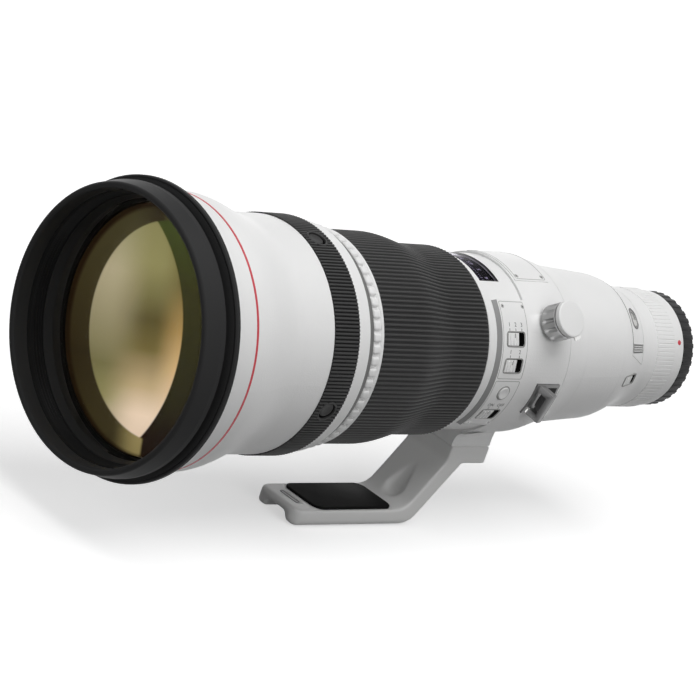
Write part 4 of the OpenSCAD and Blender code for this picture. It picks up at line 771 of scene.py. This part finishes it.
POCKET_CLOCK, POCKET_S = 41, 53.3
POCKET = place(POCKET_CLOCK, POCKET_S, 38.97)
opening = sliced(rim(13.8, 8.8, 0.35, 4.3, 1.0, 0.12), 6.6, 1.0)
pocket_rim = on_tail(opening, POCKET_CLOCK, POCKET_S)
piece("pocket_rim", pocket_rim, "drawer", "steel", dark_metal)
pocket = add(bmesh.new(), plate(11.8, 6.8, 0.12, 3.3), POCKET)
peg = turned([(0, 0), (2.15, 0), (2.15, 1.5), (1.8, 1.9), (0, 2.1)], 40)
add(pocket, peg, POCKET @ shift(2.5, 0))
piece("pocket_liner", pocket, "drawer", "steel", screw_metal)
DRAWER_CLOCK, DRAWER_HALF = 27, 36.9
seams = on_tail(sliced(block(66, 0.7, 0.05), 33, 2.0), DRAWER_CLOCK, 60.35)
for clock in (DRAWER_CLOCK - DRAWER_HALF, DRAWER_CLOCK + DRAWER_HALF):
    add(seams, on_tail(block(0.3, 15.6, 0.05), clock, 52.3), Matrix())
piece("drawer_seams", seams, "barrel", "black_plastic", grey_paint_and_groove_shade)
DOT_ROWS, DOT_PITCH, DOT_TURN = 9, 1.45, 1.9
for node, body in (("release_pad_left", "pad_left"), ("release_pad_right", "pad_right")):
    clock = middle(node)[0]
    dots = bmesh.new()
    for row in range(DOT_ROWS):
        s = 46.6 + DOT_PITCH * row
        for column in (-1, 0, 1):
            spot = place(clock + column * DOT_TURN, s, rear_r_at(s) - 0.06)
            add(dots, block(0.75, 0.7, 0.35, 0.2, 1, only_top=True), spot)
    piece(f"{body}_dots", dots, body, "shade_paint", smooth_paint)

# The rear ring's fine ribs, the red index dot and the cap's grips.
REAR_RIBS, CAP_GRIPS = 90, 40
ribs = add(bmesh.new(), block(2.2, 16.4, 0.45, 0.18, 1, only_top=True),
    *[place(360 / REAR_RIBS * k, 21.4, 36.75) for k in range(REAR_RIBS)])
piece("rear_ribs", ribs, "barrel", "white_paint", white_paint)
dot = turned([(0, -0.3), (1.55, -0.3), (1.55, 0.12), (1.3, 0.28), (0, 0.34)])
piece("index_dot", add(bmesh.new(), dot, place(60.3, 8.1, 36.3)), "barrel", "red_line", red_paint)
rings = bmesh.new()
for radius in (7.5, 19.0, 27.0):
    raised = lathe([(-7.35, radius), (-7.9, radius + 0.3), (-7.9, radius + 1.5),
        (-7.35, radius + 1.8)], 96)
    add(rings, raised, Matrix())
piece("cap_rings", rings, "cap_turner", "black_plastic", cap_plastic)
grips = add(bmesh.new(), block(3.0, 9.4, 1.1, 0.6, 3, only_top=True),
    *[place(360 / CAP_GRIPS * k, -2.2, 34.55) for k in range(CAP_GRIPS)])
piece("cap_grips", grips, "cap_turner", "black_plastic", cap_plastic)


# Castings: copies of the construction's meshes.
def copied(*names):
    bm = bmesh.new()
    for name in names:
        bm.from_mesh(nodes[name].data)
    return bm


def casting(width, segments, name):
    """A copy of one node with its edges rounded."""
    bm = copied(name)
    bmesh.ops.remove_doubles(bm, verts=bm.verts, dist=WELD)
    bmesh.ops.dissolve_limit(bm, angle_limit=math.radians(2), verts=bm.verts, edges=bm.edges)
    crease = math.radians(38)
    edges = [e for e in bm.edges if len(e.link_faces) == 2 and e.calc_face_angle(0) > crease]
    soften(bm, edges, width, segments)
    bmesh.ops.recalc_face_normals(bm, faces=bm.faces)
    return bm


# The station where the foot's two construction solids meet.
FOOT_JOINT = 190


def cast_foot():
    """The foot's two construction solids as one casting, its edges rounded all over."""
    voxel, rounds = 0.8, 26
    bm = copied("foot", "foot_arm")
    joint = [f for f in bm.faces if all(abs(v.co.y + FOOT_JOINT * MM) < 1e-5 for v in f.verts)]
    bmesh.ops.delete(bm, geom=joint, context="FACES_ONLY")
    bmesh.ops.remove_doubles(bm, verts=bm.verts, dist=WELD)
    mesh = bpy.data.meshes.new("foot_form")
    bm.to_mesh(mesh)
    obj = bpy.data.objects.new("foot_form", mesh)
    remesh = obj.modifiers.new("remesh", "REMESH")
    remesh.mode = "VOXEL"
    remesh.voxel_size = voxel * MM
    smooth = obj.modifiers.new("smooth", "SMOOTH")
    smooth.factor = 0.5
    smooth.iterations = rounds
    made = baked(obj)
    bm.clear()
    bm.from_mesh(made)
    bpy.data.meshes.remove(mesh)
    bpy.data.meshes.remove(made)
    return bm


def collar_form():
    """The collar's ring, with the rear ends of its seat's wings drawn in to the casing."""
    side, tip, rear_end, under = 17, 19, 131, -45
    bm = copied("collar_ring")
    bmesh.ops.remove_doubles(bm, verts=bm.verts, dist=WELD)
    for vert in bm.verts:
        x, s, z = abs(vert.co.x) / MM, -vert.co.y / MM, vert.co.z / MM
        r, casing = math.hypot(x, z), rear_r_at(s)
        if s < rear_end and z < under and x > side + 0.02 and r > casing:
            drawn = casing + (r - casing) * max(0, (tip - x) / (tip - side))
            vert.co.x *= drawn / r
            vert.co.z *= drawn / r
    bmesh.ops.recalc_face_normals(bm, faces=bm.faces)
    return bm


piece("collar_casting", collar_form(), "collar", "white_paint", white_paint, "collar_ring",
    sharp=9)
piece("foot_casting", cast_foot(), "collar", "shade_paint", foot_paint, "foot", "foot_arm",
    sharp=60)
# The foot's key slot, drawn flat as a grey rim and floor painted as the slot's shade.
KEY_SLOT = Matrix.Translation((0, -264 * MM, -102.75 * MM))
slot_mark = add(bmesh.new(), rim(16.5, 3.2, 0.3, 1.5, 0.5, 0.1), KEY_SLOT)
add(slot_mark, plate(15.6, 2.2, 0.06, 1.05), KEY_SLOT @ shift(0, 0, 0.03))
piece("key_slot", slot_mark, "collar", "shade_paint", painted_shade_grey)
piece("lug_frames", casting(0.45, 2, "strap_lugs"), "collar", "bare_metal", dark_metal, "strap_lugs")
piece("pad_moulding", casting(0.6, 3, "foot_pad"), "collar", "black_rubber", pad_rubber, "foot_pad")


# The front glass's painted reflection, seen through it: an almond of reflected light and painted shade
# round it, in the coating's tints and glowing faintly, laid on a shallow dish behind it.
def linear(colour):
    """A screen colour of 0 to 255 as the shader wants it."""
    values = []
    for c in colour:
        values.append(c / 255 / 12.92 if c < 11 else ((c / 255 + 0.055) / 1.055) ** 2.4)
    return (*values, 1)


# The painted reflection's tones on a screen's scale of 0 to 255, set one by one and compared with the
# photograph.
CREAM = (234, 213, 194)
SAND = (206, 176, 132)
WHEAT = (184, 164, 130)
STRAW = (172, 164, 138)
AMBER = (164, 136, 86)
HAY = (150, 137, 92)
LICHEN = (150, 148, 116)
STONE = (142, 136, 108)
KHAKI = (137, 134, 91)
SAGE = (112, 108, 74)
FERN = (110, 110, 58)
OLIVE = (106, 96, 56)
UMBER = (82, 75, 42)
MOSS = (62, 72, 32)
BARK = (66, 62, 40)
LOAM = (59, 53, 33)
SOIL = (47, 40, 25)
IVY = (46, 46, 18)
DUSK = (36, 34, 14)
HUSK = (36, 25, 14)
RUST = (22, 8, 2)


def painted_reflection_group():
    """Painted reflection by place on the glass: an almond of reflected light between two circles, and
    the painted shade round it.
    """
    tree, _, outside = new_group("painted reflection colours", [], [("Color", "NodeSocketColor")])
    links = tree.links

    def node(kind, **settings):
        return new_node(tree, kind, **settings)

    def smooth(value, low, high):
        ramp = node("ShaderNodeMapRange", interpolation_type="SMOOTHSTEP")
        ramp.inputs["From Min"].default_value = low
        ramp.inputs["From Max"].default_value = high
        links.new(value, ramp.inputs["Value"])
        return ramp.outputs["Result"]

    def mix(factor, first, second):
        made = node("ShaderNodeMix", data_type="RGBA")
        links.new(factor, made.inputs["Factor"])
        for label, value in (("A", first), ("B", second)):
            if isinstance(value, tuple):
                made.inputs[label].default_value = linear(value)
            else:
                links.new(value, made.inputs[label])
        return made.outputs["Result"]

    def ramp(value, stops):
        made = node("ShaderNodeValToRGB")
        band = made.color_ramp
        band.elements[0].position = stops[0][0]
        band.elements[0].color = linear(stops[0][1])
        band.elements[1].position = stops[-1][0]
        band.elements[1].color = linear(stops[-1][1])
        for position, colour in stops[1:-1]:
            band.elements.new(position).color = linear(colour)
        links.new(value, made.inputs["Fac"])
        return made.outputs["Color"]

    # The almond's middle on the glass.
    almond_x, almond_z = 11.4, 4.4
    where = node("ShaderNodeTexCoord")
    split = node("ShaderNodeSeparateXYZ")
    flat = node("ShaderNodeCombineXYZ")
    links.new(where.outputs["Object"], split.inputs[0])
    links.new(split.outputs["X"], flat.inputs["X"])
    links.new(split.outputs["Z"], flat.inputs["Z"])

    def beyond(x, z, r, blur):
        """0 inside a circle of the glass plane and 1 outside it, blurred at its edge."""
        made = node("ShaderNodeVectorMath", operation="DISTANCE")
        made.inputs[1].default_value = (x * MM, 0, z * MM)
        links.new(flat.outputs[0], made.inputs[0])
        return smooth(made.outputs["Value"], (r - blur) * MM, (r + blur) * MM)

    def along(x, z, length):
        """0 to 1 over that length each side of the almond's middle."""
        shifted = node("ShaderNodeVectorMath", operation="SUBTRACT")
        shifted.inputs[1].default_value = (almond_x * MM, 0, almond_z * MM)
        links.new(flat.outputs[0], shifted.inputs[0])
        made = node("ShaderNodeVectorMath", operation="DOT_PRODUCT")
        made.inputs[1].default_value = (x, 0, z)
        links.new(shifted.outputs[0], made.inputs[0])
        ramped = node("ShaderNodeMapRange")
        ramped.inputs["From Min"].default_value = -length * MM
        ramped.inputs["From Max"].default_value = length * MM
        links.new(made.outputs["Value"], ramped.inputs["Value"])
        return ramped.outputs["Result"]

    tip = along(0.311, -0.95, 58)
    across = along(0.95, 0.311, 50)
    left = ramp(tip, ((0.0, LICHEN), (0.25, STRAW), (0.5, STONE), (0.7, SAGE), (0.85, KHAKI),
        (1.0, STRAW)))
    centre = ramp(tip, ((0.0, KHAKI), (0.2, KHAKI), (0.46, UMBER), (0.6, OLIVE), (0.78, WHEAT),
        (0.91, CREAM)))
    right = ramp(tip, ((0.0, FERN), (0.28, OLIVE), (0.5, AMBER), (0.68, SAND), (0.93, CREAM)))
    almond = mix(smooth(across, 0.0, 0.34), left, centre)
    almond = mix(smooth(across, 0.38, 0.62), almond, right)
    outer = ramp(tip, ((0.0, MOSS), (0.3, IVY), (0.8, DUSK), (1.0, RUST)))
    shade = ramp(tip, ((0.0, BARK), (0.35, LOAM), (0.66, SOIL), (1.0, LOAM)))
    glow = ramp(tip, ((0.66, SOIL), (0.8, LOAM), (1.0, HAY)))
    crescent = mix(smooth(across, 0.14, 0.37), shade, glow)
    wedge = ramp(tip, ((0.0, BARK), (0.5, SOIL), (0.8, RUST)))
    low_crescent = mix(smooth(across, 0.38, 0.41), crescent, wedge)
    inner = mix(beyond(-55.3, -20.0, 81.7, 0.7), almond, outer)
    whole = mix(beyond(8.7, 3.2, 60.1, 0.7), inner, low_crescent)
    edge = mix(beyond(2.5, 0, 68, 1.5), whole, HUSK)
    links.new(edge, outside.inputs["Color"])
    return tree


# The painted reflection's finish: its colours as base colour and also as a faint glow of their own.
def coating():
    finish = Finish("painted lens reflection")
    colours = finish.group(painted_reflection_group())
    finish.join(colours, "Color", finish.shader, "Base Color")
    finish.join(colours, "Color", finish.shader, "Emission Color")
    finish.set(Emission_Strength=0.2, Roughness=0.3, Specular_IOR_Level=0.05)
    return finish.material


DISH_WALL = 0.4
face = [(0, 412.9), (20, 413.1), (40, 413.8), (56, 414.7), (69.6, 415.9)]
back = [(r, s - DISH_WALL) for r, s in reversed(face)]
dish = spun(face + back, 96, "y", False)
piece("painted_reflection_dish", dish, "barrel", "lens", coating())


# Studio


def white_for_the_eye(tree):
    """1 where a ray comes from the camera, a gloss or a glass, and 0 on diffuse light."""
    path = tree.nodes.new("ShaderNodeLightPath")
    value = path.outputs["Is Camera Ray"]
    for label in ("Is Glossy Ray", "Is Transmission Ray"):
        either = new_node(tree, "ShaderNodeMath", operation="MAXIMUM")
        tree.links.new(value, either.inputs[0])
        tree.links.new(path.outputs[label], either.inputs[1])
        value = either.outputs[0]
    return value


def shown_or_felt(tree, shown, felt, kind):
    """Joins what the eye sees and what diffuse light feels to a tree's output."""
    mix = new_node(tree, "ShaderNodeMixShader")
    output = new_node(tree, kind)
    tree.links.new(white_for_the_eye(tree), mix.inputs[0])
    tree.links.new(felt.outputs[0], mix.inputs[1])
    tree.links.new(shown.outputs[0], mix.inputs[2])
    tree.links.new(mix.outputs[0], output.inputs["Surface"])


def coloured(tree, kind, colour):
    node = new_node(tree, kind)
    node.inputs["Color"].default_value = (*colour, 1)
    return node


def make_world():
    world = bpy.data.worlds.new("studio")
    bpy.context.scene.world = world
    world.use_nodes = True
    tree = world.node_tree
    tree.nodes.clear()
    shown = coloured(tree, "ShaderNodeBackground", (1, 1, 1))
    felt = coloured(tree, "ShaderNodeBackground", (0.115, 0.115, 0.117))
    shown_or_felt(tree, shown, felt, "ShaderNodeOutputWorld")


# The floor: its half width and its gap under the foot, and the glow that carries it from
# a pale grey near the lens to white further off, all in metres.
FLOOR_HALF, FLOOR_GAP = 12, 0.0005
GLOW_NEAR, GLOW_FAR, GLOW_LOW = 0.3, 1.4, 0.52


def make_floor():
    bm = bmesh.new()
    bmesh.ops.create_grid(bm, x_segments=1, y_segments=1, size=FLOOR_HALF)
    bmesh.ops.translate(bm, verts=bm.verts, vec=(0, 0, cad_box[0][2] - FLOOR_GAP))
    mesh = bpy.data.meshes.new("floor")
    bm.to_mesh(mesh)
    bm.free()
    floor = bpy.data.objects.new("floor", mesh)
    bpy.context.scene.collection.objects.link(floor)
    material = new_material("pale floor")
    tree = material.node_tree
    pale = coloured(tree, "ShaderNodeBsdfDiffuse", (0.8, 0.8, 0.8))
    glow = coloured(tree, "ShaderNodeEmission", (1, 1, 1))
    where = tree.nodes.new("ShaderNodeTexCoord")
    far = new_node(tree, "ShaderNodeVectorMath", operation="LENGTH")
    tree.links.new(where.outputs["Object"], far.inputs[0])
    widen = tree.nodes.new("ShaderNodeMapRange")
    widen.inputs["From Min"].default_value = GLOW_NEAR
    widen.inputs["From Max"].default_value = GLOW_FAR
    widen.inputs["To Min"].default_value = GLOW_LOW
    tree.links.new(far.outputs["Value"], widen.inputs["Value"])
    tree.links.new(widen.outputs["Result"], glow.inputs["Strength"])
    shown = tree.nodes.new("ShaderNodeAddShader")
    tree.links.new(pale.outputs[0], shown.inputs[0])
    tree.links.new(glow.outputs[0], shown.inputs[1])
    felt = coloured(tree, "ShaderNodeBsdfDiffuse", (0.10, 0.10, 0.10))
    shown_or_felt(tree, shown, felt, "ShaderNodeOutputMaterial")
    mesh.materials.append(material)


def soft_light(name, where, target, size, watts):
    data = bpy.data.lights.new(name, "AREA")
    data.shape = "RECTANGLE"
    data.size, data.size_y = size
    data.energy = watts
    light = bpy.data.objects.new(name, data)
    bpy.context.scene.collection.objects.link(light)
    light.location = where
    way = Vector(target) - Vector(where)
    light.rotation_euler = way.to_track_quat("-Z", "Y").to_euler()


# The photograph's own view, solved from the picture for a front 168 mm across: where the
# camera stands, which way its right side and its back point, and its lens.
CAMERA_AT = (1.3556, -1.7753, 0.6002)
CAMERA_ACROSS = (0.6387, 0.6992, 0.3213)
CAMERA_BACK = (0.6382, -0.7146, 0.2864)
CAMERA_LENS = 189.87


def make_camera():
    data = bpy.data.cameras.new("camera")
    data.lens = CAMERA_LENS
    data.sensor_width = 36
    data.clip_start = 0.05
    data.clip_end = 60
    camera = bpy.data.objects.new("camera", data)
    bpy.context.scene.collection.objects.link(camera)
    across = Vector(CAMERA_ACROSS).normalized()
    back = Vector(CAMERA_BACK)
    back = (back - across * back.dot(across)).normalized()
    up = back.cross(across)
    turn = Matrix((across, up, back)).transposed().to_4x4()
    camera.matrix_world = Matrix.Translation(CAMERA_AT) @ turn
    bpy.context.scene.camera = camera


# Each lamp's name, place, target, size in metres and watts.
LAMPS = (
    ("overhead", (0.5, -0.2, 1.8), (0, -0.22, 0), (2.0, 1.7), 28),
    ("right side", (2.1, -0.7, 0.75), (0, -0.2, 0), (1.5, 1.1), 11),
    ("front fill", (0.4, -2.6, 0.9), (0, -0.4, 0), (1.4, 1.0), 5),
    ("back fill", (-1.9, 1.5, 0.45), (0, -0.2, 0), (1.5, 1.1), 3),
)
make_world()
make_floor()
make_camera()
for lamp in LAMPS:
    soft_light(*lamp)
bpy.context.scene.view_settings.view_transform = "Standard"
